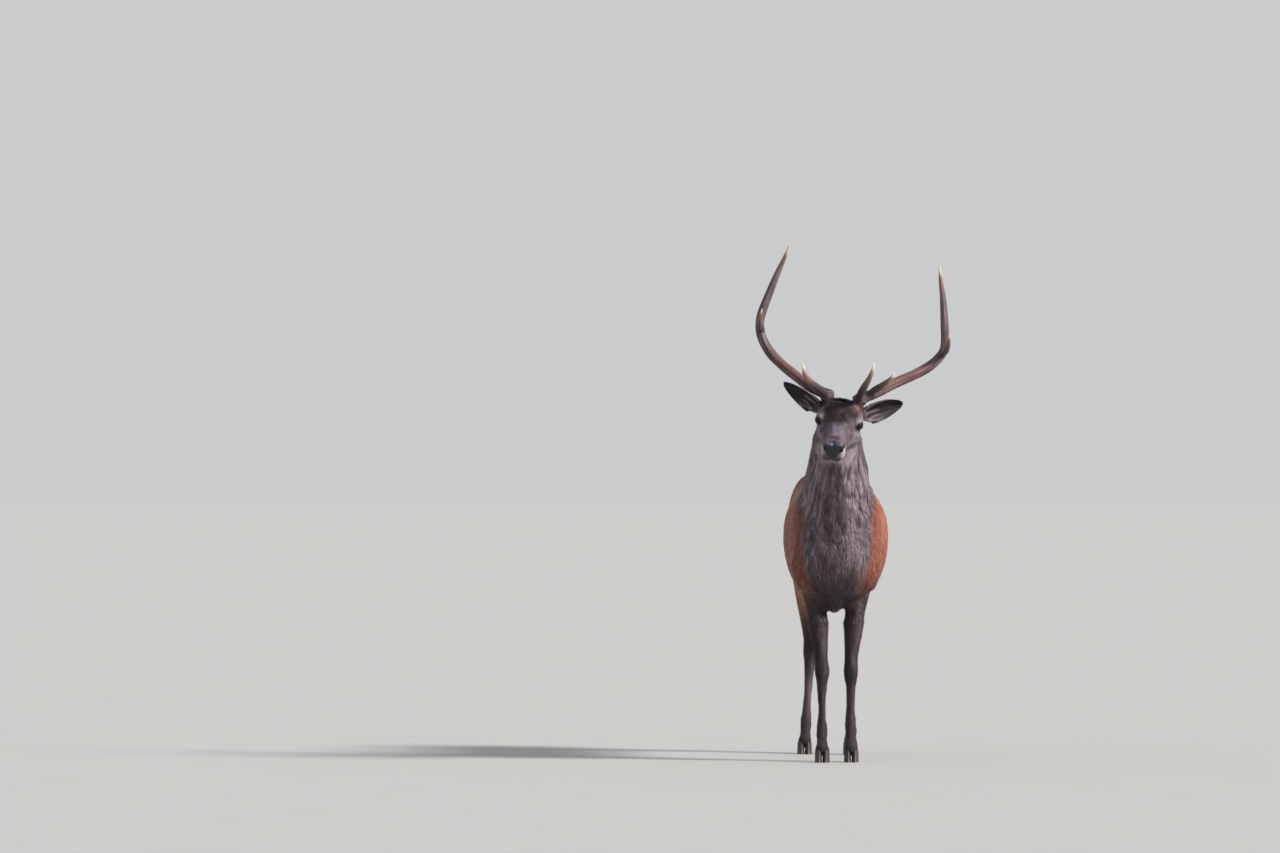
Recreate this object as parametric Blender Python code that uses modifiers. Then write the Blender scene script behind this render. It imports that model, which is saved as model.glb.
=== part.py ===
"""Red deer stag, life size, standing square and looking ahead: the solids of a still display model.

Metres, +Z up. The stag faces -Y and its left side is +X. The body is lofted from cross-sections and muscle
masses, fused into one flesh, smoothed, and parted with thin cuts into the pieces that a person would name.
Antlers, eyes, hooves and dewclaws are solids of their own, set into the flesh with a thin gap.
"""

import math

import bmesh
import bpy
import numpy as np
from mathutils import Matrix, Vector

# ---- driving dimensions -------------------------------------------------------------------------------------
STAG = "red_deer_stag"  # the collection that holds the nodes
GAP = 0.0004  # between two solids that meet
ORIGIN = Vector((-0.0627, 0.158, 0.0))  # moves the middle of the whole animal's box over the origin

# ---- how the flesh is fused ---------------------------------------------------------------------------------
BODY_VOXEL = 0.011
FLESH_VOXEL = 0.0065
BODY_SMOOTHING = 9
FLESH_SMOOTHING = 2
FLESH_TRIANGLES = 2450
PLAIN_WEIGHT, FINE_WEIGHT = 1.0, 0.80  # how readily triangles are given up, on the plain parts and the fine ones

# ---- carriage of the head -----------------------------------------------------------------------------------
EYE_LINE = Vector((0.003, -0.73, 1.360))  # point midway between the eyes
HEAD_PITCH = math.radians(18)  # nose below the level
HEAD_YAW = math.radians(-4)  # towards the stag's right
HEAD_ROLL = math.radians(8)  # its left ear lower
EYE_RADIUS = 0.0168
EYE_CENTRE = Vector((0.0770, -0.006, 0.004))

# ---- stance -------------------------------------------------------------------------------------------------
LEFT, RIGHT = 1, -1
SIDES = {"left": LEFT, "right": RIGHT}
# Where each foot stands: half the distance between the feet at elbow or hip, knee or hock, and hoof, and how
# far the foot is set forward (-) or back (+) of the pair's middle.
KNEE_HEIGHT, BELLY_HEIGHT = 0.38, 0.66
FORE_STANCE = {"left": (0.082, 0.060, 0.061, 0.012), "right": (0.084, 0.056, 0.056, -0.014)}
HIND_STANCE = {"left": (0.098, 0.082, 0.078, -0.020), "right": (0.098, 0.083, 0.108, 0.034)}

COAT_RED = (0.30, 0.105, 0.045, 1)
COAT_GREY = (0.115, 0.085, 0.075, 1)
LEG_BROWN = (0.085, 0.058, 0.050, 1)
HORN_BLACK = (0.02, 0.018, 0.018, 1)
ANTLER_BROWN = (0.15, 0.085, 0.055, 1)
EYE_BLACK = (0.012, 0.008, 0.006, 1)

# Cross-sections of the trunk, rump to breast: y, top, bottom, half width, height of the widest part (0 to 1),
# squareness (2 is an ellipse).
TRUNK = (
    (0.592, 0.985, 0.880, 0.040, 0.50, 2.0),
    (0.562, 1.060, 0.800, 0.096, 0.52, 2.1),
    (0.500, 1.122, 0.745, 0.136, 0.56, 2.2),
    (0.410, 1.158, 0.715, 0.162, 0.60, 2.25),
    (0.310, 1.164, 0.690, 0.176, 0.60, 2.25),
    (0.190, 1.148, 0.652, 0.187, 0.58, 2.2),
    (0.060, 1.134, 0.616, 0.205, 0.56, 2.15),
    (-0.080, 1.134, 0.598, 0.211, 0.56, 2.1),
    (-0.200, 1.148, 0.592, 0.199, 0.55, 2.1),
    (-0.300, 1.172, 0.594, 0.176, 0.52, 2.0),
    (-0.400, 1.140, 0.606, 0.158, 0.46, 2.0),
    (-0.480, 1.060, 0.650, 0.138, 0.44, 2.1),
    (-0.545, 0.970, 0.720, 0.100, 0.45, 2.1),
    (-0.580, 0.890, 0.790, 0.045, 0.45, 2.0),
)

# The neck, withers to poll: y, z, half width, reach to the nape, reach to the throat.
NECK = (
    (-0.290, 0.880, 0.138, 0.220, 0.245),
    (-0.355, 0.975, 0.142, 0.190, 0.240),
    (-0.430, 1.070, 0.137, 0.146, 0.204),
    (-0.495, 1.160, 0.126, 0.116, 0.162),
    (-0.555, 1.245, 0.110, 0.101, 0.128),
    (-0.605, 1.312, 0.094, 0.090, 0.104),
    (-0.640, 1.355, 0.076, 0.070, 0.080),
)

# The head on its own axis: distance behind the eyes, top, bottom, half width, widest height, squareness.
HEAD = (
    (0.150, 0.026, -0.060, 0.038, 0.50, 2.0),
    (0.128, 0.056, -0.088, 0.066, 0.55, 2.1),
    (0.085, 0.080, -0.108, 0.080, 0.60, 2.2),
    (0.045, 0.077, -0.116, 0.086, 0.62, 2.1),
    (0.000, 0.059, -0.111, 0.086, 0.64, 2.0),
    (-0.045, 0.040, -0.101, 0.070, 0.62, 2.0),
    (-0.090, 0.026, -0.093, 0.056, 0.56, 2.1),
    (-0.135, 0.016, -0.093, 0.048, 0.52, 2.2),
    (-0.175, 0.011, -0.095, 0.046, 0.56, 2.3),
    (-0.210, 0.006, -0.095, 0.047, 0.62, 2.4),
    (-0.232, -0.001, -0.082, 0.042, 0.66, 2.4),
    (-0.244, -0.014, -0.052, 0.020, 0.60, 2.3),
)

# A foreleg from the elbow down: y, z, half width, reach to the front, reach to the back.
FORELEG = (
    (-0.405, 0.830, 0.055, 0.085, 0.085),
    (-0.365, 0.725, 0.060, 0.080, 0.082),
    (-0.350, 0.640, 0.052, 0.058, 0.062),
    (-0.364, 0.560, 0.043, 0.044, 0.046),
    (-0.378, 0.470, 0.0315, 0.031, 0.031),
    (-0.384, 0.405, 0.0270, 0.026, 0.026),
    (-0.386, 0.362, 0.0305, 0.029, 0.029),
    (-0.383, 0.318, 0.0240, 0.021, 0.025),
    (-0.380, 0.240, 0.0180, 0.016, 0.020),
    (-0.378, 0.168, 0.0185, 0.017, 0.022),
    (-0.378, 0.128, 0.0240, 0.021, 0.027),
    (-0.392, 0.088, 0.0215, 0.018, 0.020),
    (-0.408, 0.054, 0.0290, 0.024, 0.024),
    (-0.416, 0.030, 0.0295, 0.024, 0.022),
)

# A hind leg from the hip down, in the same terms.
HINDLEG = (
    (0.400, 0.985, 0.070, 0.120, 0.130),
    (0.375, 0.860, 0.080, 0.150, 0.165),
    (0.335, 0.745, 0.066, 0.120, 0.150),
    (0.335, 0.660, 0.052, 0.088, 0.105),
    (0.378, 0.580, 0.038, 0.056, 0.066),
    (0.428, 0.508, 0.0270, 0.034, 0.042),
    (0.458, 0.455, 0.0230, 0.028, 0.044),
    (0.468, 0.412, 0.0265, 0.029, 0.038),
    (0.462, 0.360, 0.0225, 0.024, 0.025),
    (0.449, 0.270, 0.0180, 0.018, 0.020),
    (0.437, 0.180, 0.0185, 0.018, 0.022),
    (0.430, 0.136, 0.0240, 0.022, 0.027),
    (0.414, 0.092, 0.0215, 0.018, 0.020),
    (0.395, 0.054, 0.0290, 0.024, 0.024),
    (0.388, 0.030, 0.0295, 0.024, 0.022),
)

TAIL = (
    (0.548, 1.050, 0.040, 0.036, 0.036),
    (0.585, 1.020, 0.038, 0.028, 0.030),
    (0.610, 0.965, 0.036, 0.024, 0.026),
    (0.620, 0.910, 0.032, 0.020, 0.022),
    (0.620, 0.868, 0.023, 0.014, 0.014),
    (0.618, 0.850, 0.010, 0.007, 0.007),
)

# Muscle and bone that stand out of the lofts, on both sides: centre, half sizes, turn about X in degrees.
BARREL_BOW = 0.008  # how far the barrel swings to the stag's left
BODY_MASSES = (
    ((0.108, -0.345, 0.930), (0.062, 0.110, 0.215), 24),  # shoulder blade
    ((0.118, -0.395, 0.790), (0.062, 0.105, 0.120), -20),  # upper arm
    ((0.068, -0.492, 0.815), (0.068, 0.074, 0.110), 10),  # breast
    ((0.106, 0.400, 0.960), (0.060, 0.150, 0.165), 10),  # croup
    ((0.112, 0.290, 0.735), (0.052, 0.072, 0.095), -20),  # stifle
    ((0.090, 0.468, 0.825), (0.060, 0.092, 0.180), -16),  # hamstrings
)
HEAD_MASSES = (
    ((0.056, 0.045, -0.052), (0.030, 0.052, 0.058), 0),  # cheek muscle
    ((0.068, 0.012, 0.026), (0.030, 0.040, 0.022), 18),  # brow over the eye
    ((0.062, 0.006, -0.029), (0.028, 0.042, 0.022), 12),  # cheekbone under the eye
    ((0.059, 0.084, 0.060), (0.028, 0.028, 0.026), 0),  # foot of the antler
    ((0.079, 0.088, 0.018), (0.026, 0.026, 0.030), 0),  # root of the ear
    ((0.022, -0.194, -0.082), (0.021, 0.034, 0.019), 0),  # lower lip
)

# The antlers in the head's axes, each from its burr: outwards, back, up, radius.
BEAMS = {
    "left": (
        (0.000, -0.004, -0.016, 0.0200),
        (0.004, 0.004, 0.000, 0.0265),
        (0.018, 0.018, 0.008, 0.0218),
        (0.058, 0.045, 0.024, 0.0212),
        (0.130, 0.100, 0.058, 0.0206),
        (0.202, 0.150, 0.090, 0.0202),
        (0.255, 0.190, 0.118, 0.0196),
        (0.288, 0.215, 0.152, 0.0188),
        (0.302, 0.236, 0.186, 0.0178),
        (0.298, 0.255, 0.240, 0.0166),
        (0.284, 0.270, 0.316, 0.0148),
        (0.267, 0.275, 0.398, 0.0118),
        (0.252, 0.272, 0.458, 0.0082),
        (0.240, 0.265, 0.518, 0.0030),
    ),
    "right": (
        (0.000, -0.004, -0.016, 0.0200),
        (0.004, 0.004, 0.000, 0.0265),
        (0.020, 0.018, 0.004, 0.0220),
        (0.068, 0.045, 0.011, 0.0214),
        (0.136, 0.100, 0.028, 0.0208),
        (0.206, 0.145, 0.057, 0.0204),
        (0.263, 0.185, 0.090, 0.0198),
        (0.300, 0.210, 0.134, 0.0190),
        (0.315, 0.232, 0.184, 0.0178),
        (0.311, 0.252, 0.238, 0.0166),
        (0.292, 0.268, 0.312, 0.0148),
        (0.270, 0.275, 0.396, 0.0118),
        (0.252, 0.272, 0.458, 0.0082),
        (0.238, 0.265, 0.518, 0.0030),
    ),
}
FORK_ROW = 7  # the row of a beam where the tray tine leaves, just below where the beam is parted
BURR = Vector((0.0625, 0.084, 0.078))
TINES = {
    "brow_tine_left": (
        (0.000, -0.004, 0.004, 0.0150),
        (0.007, -0.050, 0.048, 0.0148),
        (0.022, -0.090, 0.097, 0.0132),
        (0.038, -0.105, 0.144, 0.0096),
        (0.044, -0.100, 0.174, 0.0060),
        (0.046, -0.090, 0.200, 0.0022),
    ),
    "bez_tine_left": (
        (0.034, 0.030, 0.016, 0.0140),
        (0.056, 0.015, 0.047, 0.0135),
        (0.090, 0.000, 0.082, 0.0112),
        (0.114, -0.010, 0.112, 0.0070),
        (0.129, -0.010, 0.141, 0.0022),
    ),
    "tray_tine_left": (
        (0.294, 0.222, 0.164, 0.0130),
        (0.312, 0.176, 0.196, 0.0120),
        (0.320, 0.142, 0.240, 0.0090),
        (0.321, 0.122, 0.290, 0.0024),
    ),
    "brow_tine_right": (
        (0.004, -0.004, 0.004, 0.0155),
        (0.040, -0.050, 0.045, 0.0152),
        (0.070, -0.080, 0.075, 0.0136),
        (0.094, -0.090, 0.106, 0.0100),
        (0.105, -0.085, 0.130, 0.0060),
        (0.110, -0.076, 0.150, 0.0022),
    ),
    "tray_tine_right": (
        (0.306, 0.220, 0.160, 0.0130),
        (0.314, 0.174, 0.190, 0.0120),
        (0.314, 0.140, 0.234, 0.0090),
        (0.308, 0.122, 0.284, 0.0024),
    ),
}

# The ears in the head's axes. Each is raised above the level, swept back, and turned about its length so that
# its hollow looks down.
EAR_ROOT = Vector((0.080, 0.088, 0.018))
EAR_LENGTH, EAR_WIDTH, EAR_CUP, EAR_WALL = 0.184, 0.094, 0.034, 0.0062
EAR_RISE = {"left": math.radians(14), "right": math.radians(28)}
EAR_BACK = {"left": math.radians(34), "right": math.radians(12)}
EAR_TURN = {"left": math.radians(8), "right": math.radians(26)}

HOOF_LENGTH, CLAW_WIDTH, CLAW_SPREAD = 0.074, 0.0300, 0.0146
CLAW_SPLAY = math.radians(4)
# Height, how far the toe and the heel are drawn back, and share of the full width.
CLAW_RINGS = (
    (0.000, 0.000, 0.000, 0.97),
    (0.010, 0.005, -0.002, 1.00),
    (0.032, 0.022, 0.004, 0.94),
    (0.050, 0.036, 0.014, 0.84),
)
INNER_WALL, TOE_NARROWING = 0.80, 0.34  # a claw is flatter towards its fellow, and narrows to its toe

# Where the flesh is parted: heights of the level cuts in the legs, and for each slanting cut the point that it
# passes through and its turn about X, or for the thigh about Y.
KNEE_CUT, ELBOW_CUT, HOCK_CUT, SHANK_CUT = 0.335, 0.566, 0.372, 0.590
THROAT_CUT = ((0, -0.680, 1.222), math.radians(37))
SHOULDER_CUT = ((0, -0.430, 1.070), math.radians(38))
TAIL_CUT = ((0, 0.590, 0.96), math.radians(14))
THIGH_CUT = ((0.012, 0, 0.640), math.radians(38))


# ---- shapes -------------------------------------------------------------------------------------------------
def smooth_rows(rows, steps):
    """Rows of numbers joined by a smooth curve through each, with that many steps from row to row."""
    rows = np.array(rows, float)
    ends = np.vstack([2 * rows[0] - rows[1], rows, 2 * rows[-1] - rows[-2]])
    made = []
    for i in range(1, len(rows)):
        a, b, c, d = ends[i - 1 : i + 3]
        for t in np.arange(steps) / steps:
            made.append(
                0.5 * (2 * b + (c - a) * t + (2 * a - 5 * b + 4 * c - d) * t**2 + (3 * b - a - 3 * c + d) * t**3)
            )
    return np.array(made + [rows[-1]])


def linked(name, mesh):
    made = bpy.data.objects.new(name, mesh)
    bpy.data.collections[STAG].objects.link(made)
    return made


def mesh_object(name, points, faces):
    mesh = bpy.data.meshes.new(name)
    mesh.from_pydata([tuple(p) for p in points], [], faces)
    return linked(name, mesh)


def loft(name, rings):
    """A closed skin over rings of as many points each, with a fan over each end."""
    count, sides = len(rings), len(rings[0])
    points = [p for ring in rings for p in ring] + [np.mean(rings[0], 0), np.mean(rings[-1], 0)]
    faces = [
        (i * sides + j, i * sides + (j + 1) % sides, (i + 1) * sides + (j + 1) % sides, (i + 1) * sides + j)
        for i in range(count - 1)
        for j in range(sides)
    ]
    first, last = count * sides, count * sides + 1
    faces += [(first, (j + 1) % sides, j) for j in range(sides)]
    faces += [(last, (count - 1) * sides + j, (count - 1) * sides + (j + 1) % sides) for j in range(sides)]
    made = mesh_object(name, points, faces)
    shape = bmesh.new()
    shape.from_mesh(made.data)
    bmesh.ops.triangulate(shape, faces=shape.faces)
    bmesh.ops.recalc_face_normals(shape, faces=shape.faces)
    shape.to_mesh(made.data)
    shape.free()
    return made


def section(sides, width, up, down, squareness=2.0):
    """Sideways and upward offsets round a squared ellipse whose upper and lower halves differ."""
    turn = np.arange(sides) * 2 * math.pi / sides
    c, s = np.cos(turn), np.sin(turn)
    power = 2 / squareness
    across = width * np.sign(c) * np.abs(c) ** power
    rise = np.where(s > 0, up, down) * np.sign(s) * np.abs(s) ** power
    return across, rise


def upright_loft(name, rows, sides=28, steps=4):
    """A loft of upright sections along Y: y, top, bottom, half width, height of the widest part, squareness."""
    rings = []
    for y, top, bottom, width, widest, squareness in smooth_rows(rows, steps):
        middle = bottom + widest * (top - bottom)
        across, rise = section(sides, max(width, 0.002), top - middle, middle - bottom, squareness)
        rings.append(np.stack([across, np.full(sides, y), middle + rise], axis=1))
    return loft(name, rings)


def limb(name, rows, sides=20, steps=4):
    """A loft square to its own path: x, y, z, half width, reach to one side of the path, reach to the other."""
    rows = smooth_rows(rows, steps)
    path = rows[:, :3]
    along = np.gradient(path, axis=0)
    rings = []
    for centre, t, (width, front, back) in zip(path, along, rows[:, 3:]):
        t = t / np.linalg.norm(t)
        e1 = np.array([1.0, 0, 0]) - t[0] * t
        e1 /= np.linalg.norm(e1)
        e2 = np.cross(t, e1)
        across, rise = section(sides, width, front, back)
        rings.append(centre + np.outer(across, e1) + np.outer(rise, e2))
    return loft(name, rings)


def rod(name, rows, sides=9, steps=2, grow=0.0):
    """A round loft: x, y, z, radius."""
    rows = smooth_rows(rows, steps)
    path = rows[:, :3]
    along = np.gradient(path, axis=0)
    side = np.array([0.0, 1.0, 0.0])
    turn = np.arange(sides) * 2 * math.pi / sides
    rings = []
    for centre, t, radius in zip(path, along, rows[:, 3]):
        t = t / np.linalg.norm(t)
        side = side - side @ t * t
        side /= np.linalg.norm(side)
        other = np.cross(t, side)
        rings.append(centre + radius * (np.outer(np.cos(turn), side) + np.outer(np.sin(turn), other)))
    return swollen(loft(name, rings), grow)


def ball(name, matrix, rings=16, sides=24):
    shape = bmesh.new()
    bmesh.ops.create_uvsphere(shape, u_segments=sides, v_segments=rings, radius=1.0, matrix=matrix)
    made = mesh_object(name, [], [])
    shape.to_mesh(made.data)
    shape.free()
    return made


def mass(name, centre, half_sizes, turn, side, rings=16, sides=24):
    """An egg of muscle or bone on one side of the animal."""
    centre = Vector((centre[0] * side, centre[1], centre[2]))
    matrix = Matrix.Translation(centre) @ Matrix.Rotation(math.radians(turn), 4, "X")
    return ball(name, matrix @ Matrix.Diagonal((*half_sizes, 1)), rings, sides)


def place(obj, matrix):
    obj.data.transform(matrix)
    if matrix.determinant() < 0:
        obj.data.flip_normals()
    return obj


# ---- changes to a mesh --------------------------------------------------------------------------------------
def swollen(obj, distance):
    """The object with every face moved out by that distance."""
    if distance:
        shape = bmesh.new()
        shape.from_mesh(obj.data)
        shape.normal_update()
        moves = [v.normal * distance * min(2.0, v.calc_shell_factor()) for v in shape.verts]
        for v, move in zip(shape.verts, moves):
            v.co += move
        shape.to_mesh(obj.data)
        shape.free()
    return obj


def settle(obj):
    """The object with its modifiers taken up into a mesh of its own."""
    graph = bpy.context.evaluated_depsgraph_get()
    made = bpy.data.meshes.new_from_object(obj.evaluated_get(graph))
    obj.modifiers.clear()
    obj.data = made
    return obj


def joined(name, pieces):
    """Several meshes as one object, still overlapping."""
    shape = bmesh.new()
    for piece in pieces:
        shape.from_mesh(piece.data)
        bpy.data.objects.remove(piece)
    made = mesh_object(name, [], [])
    shape.to_mesh(made.data)
    shape.free()
    return made


def fuse(obj, voxel, smoothing):
    remesh = obj.modifiers.new("fuse", "REMESH")
    remesh.mode = "VOXEL"
    remesh.voxel_size = voxel
    soften = obj.modifiers.new("soften", "SMOOTH")
    soften.factor = 0.5
    soften.iterations = smoothing
    return settle(obj)


def boolean(obj, other, operation):
    cut = obj.modifiers.new(operation.lower(), "BOOLEAN")
    cut.operation = operation
    cut.solver = "MANIFOLD"
    cut.object = other
    return settle(obj)


def copy_of(obj, name):
    return linked(name, obj.data.copy())


def carve(obj, cutters):
    """The object less each cutter, which is then removed."""
    for cutter in cutters:
        boolean(obj, cutter, "DIFFERENCE")
        bpy.data.objects.remove(cutter)
    return obj


def block(name, low, high, matrix=None, grow=0.0):
    """A box from its low to its high corner, in the axes of matrix."""
    shape = bmesh.new()
    bmesh.ops.create_cube(shape, size=1.0)
    made = mesh_object(name, [], [])
    shape.to_mesh(made.data)
    shape.free()
    low, high = Vector(low) - Vector((grow,) * 3), Vector(high) + Vector((grow,) * 3)
    size = Matrix.Translation((low + high) / 2) @ Matrix.Diagonal((*(high - low), 1))
    return place(made, (matrix or Matrix.Identity(4)) @ size)


def take(flesh, name, low, high, matrix=None):
    """Parts the flesh inside a block from the rest, and gives it a name."""
    piece = copy_of(flesh, name)
    inside = block("inside", low, high, matrix)
    boolean(piece, inside, "INTERSECT")
    bpy.data.objects.remove(inside)
    carve(flesh, [block("around", low, high, matrix, grow=GAP)])
    return piece


def finish(obj, colour, roughness=0.7):
    """Gives the node its material and its place over the origin."""
    material = bpy.data.materials.new(obj.name)
    material.use_nodes = True
    shader = material.node_tree.nodes["Principled BSDF"]
    shader.inputs["Base Color"].default_value = colour
    shader.inputs["Roughness"].default_value = roughness
    obj.data.materials.clear()
    obj.data.materials.append(material)
    obj.data.shade_smooth()
    obj.data.set_sharp_from_angle(angle=math.radians(50))
    obj.location = ORIGIN
    return obj


# ---- the head's own axes ------------------------------------------------------------------------------------
def head_matrix():
    turn = Matrix.Rotation(HEAD_YAW, 4, "Z") @ Matrix.Rotation(HEAD_ROLL, 4, "Y")
    return Matrix.Translation(EYE_LINE) @ turn @ Matrix.Rotation(HEAD_PITCH, 4, "X")


HEAD_AXES = head_matrix()
MIRROR = Matrix.Diagonal((-1, 1, 1, 1))


def side_matrix(side):
    return Matrix.Identity(4) if side == LEFT else MIRROR


# ---- pieces of the flesh ------------------------------------------------------------------------------------
def leg_rows(table, stance, side):
    """The leg's rows with their sideways place: from hip or elbow to knee or hock, and on to the hoof."""
    top, middle, foot, shift = stance
    rows = []
    for y, z, width, front, back in table:
        if z > KNEE_HEIGHT:
            share = min(1.0, (z - KNEE_HEIGHT) / (BELLY_HEIGHT - KNEE_HEIGHT))
            x = middle + (top - middle) * share**1.2
        else:
            x = foot + (middle - foot) * z / KNEE_HEIGHT
        lean = shift * max(0.0, 1 - z / 0.70)
        rows.append((side * x, y + lean, z, width, front, back))
    return rows


def ear(name, side_name, grow=0.0):
    """A leaf-shaped cup, thin-walled, its hollow turned forward."""
    side = SIDES[side_name]
    steps, across = 10, 6
    outer, inner = [], []
    for i in range(steps + 1):
        t = i / steps
        width = EAR_WIDTH / 2 * (math.sin(math.pi * min(1.0, 0.16 + 0.84 * t) ** 0.86)) ** 0.62 + 0.0035
        cup = EAR_CUP * (1 - t) ** 0.7 + 0.006
        wall = EAR_WALL * (1 - 0.45 * t)
        for layer, depth in ((outer, wall), (inner, 0.0)):
            row = []
            for j in range(across + 1):
                u = 2 * j / across - 1
                bow = cup * (u * u - 0.5) + 0.012 * t * t
                row.append((t * EAR_LENGTH, -bow + depth, u * width))
            layer.append(row)
    points = [p for row in outer + inner for p in row]
    wide, half = across + 1, (steps + 1) * (across + 1)
    faces = []
    for i in range(steps):
        for j in range(across):
            a, b, c, d = (i * wide + j, i * wide + j + 1, (i + 1) * wide + j + 1, (i + 1) * wide + j)
            faces += [(a, b, c, d), (half + d, half + c, half + b, half + a)]
    rim = [i * wide for i in range(steps + 1)] + [steps * wide + j for j in range(1, wide)]
    rim += [i * wide + across for i in range(steps - 1, -1, -1)] + list(range(across - 1, 0, -1))
    for k, a in enumerate(rim):
        b = rim[(k + 1) % len(rim)]
        faces.append((a, half + a, half + b, b))
    made = mesh_object(name, points, faces)
    shape = bmesh.new()
    shape.from_mesh(made.data)
    bmesh.ops.triangulate(shape, faces=shape.faces)
    bmesh.ops.recalc_face_normals(shape, faces=shape.faces)
    shape.to_mesh(made.data)
    shape.free()
    pose = Matrix.Translation(EAR_ROOT)
    pose = pose @ Matrix.Rotation(EAR_BACK[side_name], 4, "Z") @ Matrix.Rotation(-EAR_RISE[side_name], 4, "Y")
    pose = pose @ Matrix.Rotation(EAR_TURN[side_name], 4, "X")
    return swollen(place(made, HEAD_AXES @ side_matrix(side) @ pose), grow)


def body():
    neck_rows = [(0.0, *row) for row in NECK]
    pieces = [upright_loft("trunk", TRUNK), limb("neck", neck_rows, sides=24)]
    for name, side in SIDES.items():
        pieces.append(limb("foreleg", leg_rows(FORELEG, FORE_STANCE[name], side)))
        pieces.append(limb("hindleg", leg_rows(HINDLEG, HIND_STANCE[name], side)))
        pieces += [mass("muscle", *row, side) for row in BODY_MASSES]
        hock = leg_rows(((0.505, 0.478, 0, 0, 0),), HIND_STANCE[name], side)[0]
        pieces.append(mass("hock", (abs(hock[0]), hock[1], hock[2]), (0.014, 0.017, 0.030), -14, side))
    whole = fuse(joined("body", pieces), BODY_VOXEL, BODY_SMOOTHING)
    for v in whole.data.vertices:
        v.co.x += BARREL_BOW * math.exp(-((v.co.y - 0.02) ** 2) / 0.08) * min(1.0, max(0.0, (v.co.z - 0.5) / 0.2))
    return whole


def head_pieces():
    pieces = [upright_loft("skull", HEAD)]
    for side in SIDES.values():
        pieces += [mass("feature", *row, side) for row in HEAD_MASSES]
    return [place(piece, HEAD_AXES) for piece in pieces]


def flesh():
    """The whole animal but for its antlers, eyes and claws, as one smooth skin of few triangles."""
    whole = body()
    rounder = whole.modifiers.new("rounder", "SUBSURF")
    rounder.levels = rounder.render_levels = 1
    pieces = [settle(whole), *head_pieces()]
    tail_rows = [(0.0, *row) for row in TAIL]
    pieces.append(limb("tail", tail_rows, sides=14))
    whole = fuse(joined("flesh", pieces), FLESH_VOXEL, FLESH_SMOOTHING)
    thin = whole.modifiers.new("thin", "DECIMATE")
    thin.use_collapse_triangulate = True
    coarse = whole.vertex_groups.new(name="plain")
    head = [v.index for v in whole.data.vertices if v.co.y < -0.62 and v.co.z > 1.20]
    low_legs = [v.index for v in whole.data.vertices if v.co.z < 0.5]
    coarse.add(range(len(whole.data.vertices)), PLAIN_WEIGHT, "REPLACE")
    coarse.add(head + low_legs, FINE_WEIGHT, "REPLACE")
    thin.vertex_group = coarse.name
    thin.ratio = FLESH_TRIANGLES / (2 * len(whole.data.polygons))
    return settle(whole)


# ---- antlers, eyes and claws --------------------------------------------------------------------------------
def antler_axes(side):
    return HEAD_AXES @ side_matrix(side) @ Matrix.Translation(BURR)


def beam(name, side_name, grow=0.0):
    return place(rod(name, BEAMS[side_name], grow=grow), antler_axes(SIDES[side_name]))


def antler(side_name):
    """The beam in two lengths, parted just past the tray tine, and each tine cut to sit on the beam."""
    axes = antler_axes(SIDES[side_name])
    fork, past = (Vector(BEAMS[side_name][FORK_ROW + i][:3]) for i in (0, 1))
    cut = axes @ Matrix.Translation(past) @ (past - fork).to_track_quat("Z", "Y").to_matrix().to_4x4()
    lower, upper = (beam(f"antler_beam_{length}_{side_name}", side_name) for length in ("lower", "upper"))
    reach = 0.5
    carve(lower, [block("past", (-reach, -reach, 0), (reach, reach, reach), cut)])
    carve(upper, [block("before", (-reach, -reach, -reach), (reach, reach, GAP), cut)])
    made = [lower, upper]
    for name, rows in TINES.items():
        if name.endswith(side_name):
            tine = place(rod(f"antler_{name}", rows), axes)
            made.append(carve(tine, [beam("beam_cut", side_name, grow=GAP)]))
    return made


def eye(side_name, grow=0.0):
    centre = side_matrix(SIDES[side_name]) @ EYE_CENTRE
    size = Matrix.Diagonal((EYE_RADIUS, EYE_RADIUS, EYE_RADIUS, 1))
    return swollen(ball(f"eye_{side_name}", HEAD_AXES @ Matrix.Translation(centre) @ size, rings=8, sides=12), grow)


def claw(name, foot, inner, grow=0.0):
    """One half of a cloven hoof: a wedge with a flat sole, a pointed toe and a sloping front wall."""
    sides = 12
    turn = np.arange(sides) * 2 * math.pi / sides
    rings = []
    for z, toe, heel, share in CLAW_RINGS:
        front, back = -HOOF_LENGTH / 2 + toe, HOOF_LENGTH / 2 + heel
        middle, half = (front + back) / 2, (back - front) / 2
        narrowing = 1 - TOE_NARROWING * np.clip(-np.sin(turn), 0, 1) ** 2
        across = share * CLAW_WIDTH / 2 * np.cos(turn)
        across = np.where(across * inner > 0, across * INNER_WALL, across) * narrowing
        ring = np.stack([across, middle + half * np.sin(turn), np.full(sides, z)], axis=1)
        rings.append(ring)
    splay = Matrix.Rotation(CLAW_SPLAY * inner, 4, "Z")
    pose = Matrix.Translation((foot[0] - inner * CLAW_SPREAD, foot[1], 0)) @ splay
    return swollen(place(loft(name, rings), pose), grow)


def dewclaw(name, fetlock, side, grow=0.0):
    """A small horn cone behind the fetlock."""
    x, y, z = fetlock[0] + side * 0.0135, fetlock[1] + 0.026, fetlock[2] - 0.022
    rows = (
        (x, y - 0.014, z + 0.016, 0.0085),
        (x + side * 0.001, y - 0.002, z + 0.006, 0.0092),
        (x + side * 0.002, y + 0.008, z - 0.010, 0.0065),
        (x + side * 0.002, y + 0.010, z - 0.020, 0.0028),
    )
    return rod(name, rows, sides=6, steps=1, grow=grow)


def feet():
    """For each leg: its name, the middle of its hoof on the floor, and the middle of its fetlock."""
    found = {}
    for kind, table, stances in (("fore", FORELEG, FORE_STANCE), ("hind", HINDLEG, HIND_STANCE)):
        for name, side in SIDES.items():
            rows = leg_rows(table, stances[name], side)
            coronet, fetlock = rows[-1], rows[-4]
            found[f"{kind}leg_{name}"] = (
                Vector((coronet[0], coronet[1] - 0.012, 0)),
                Vector(fetlock[:3]),
            )
    return found


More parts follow.
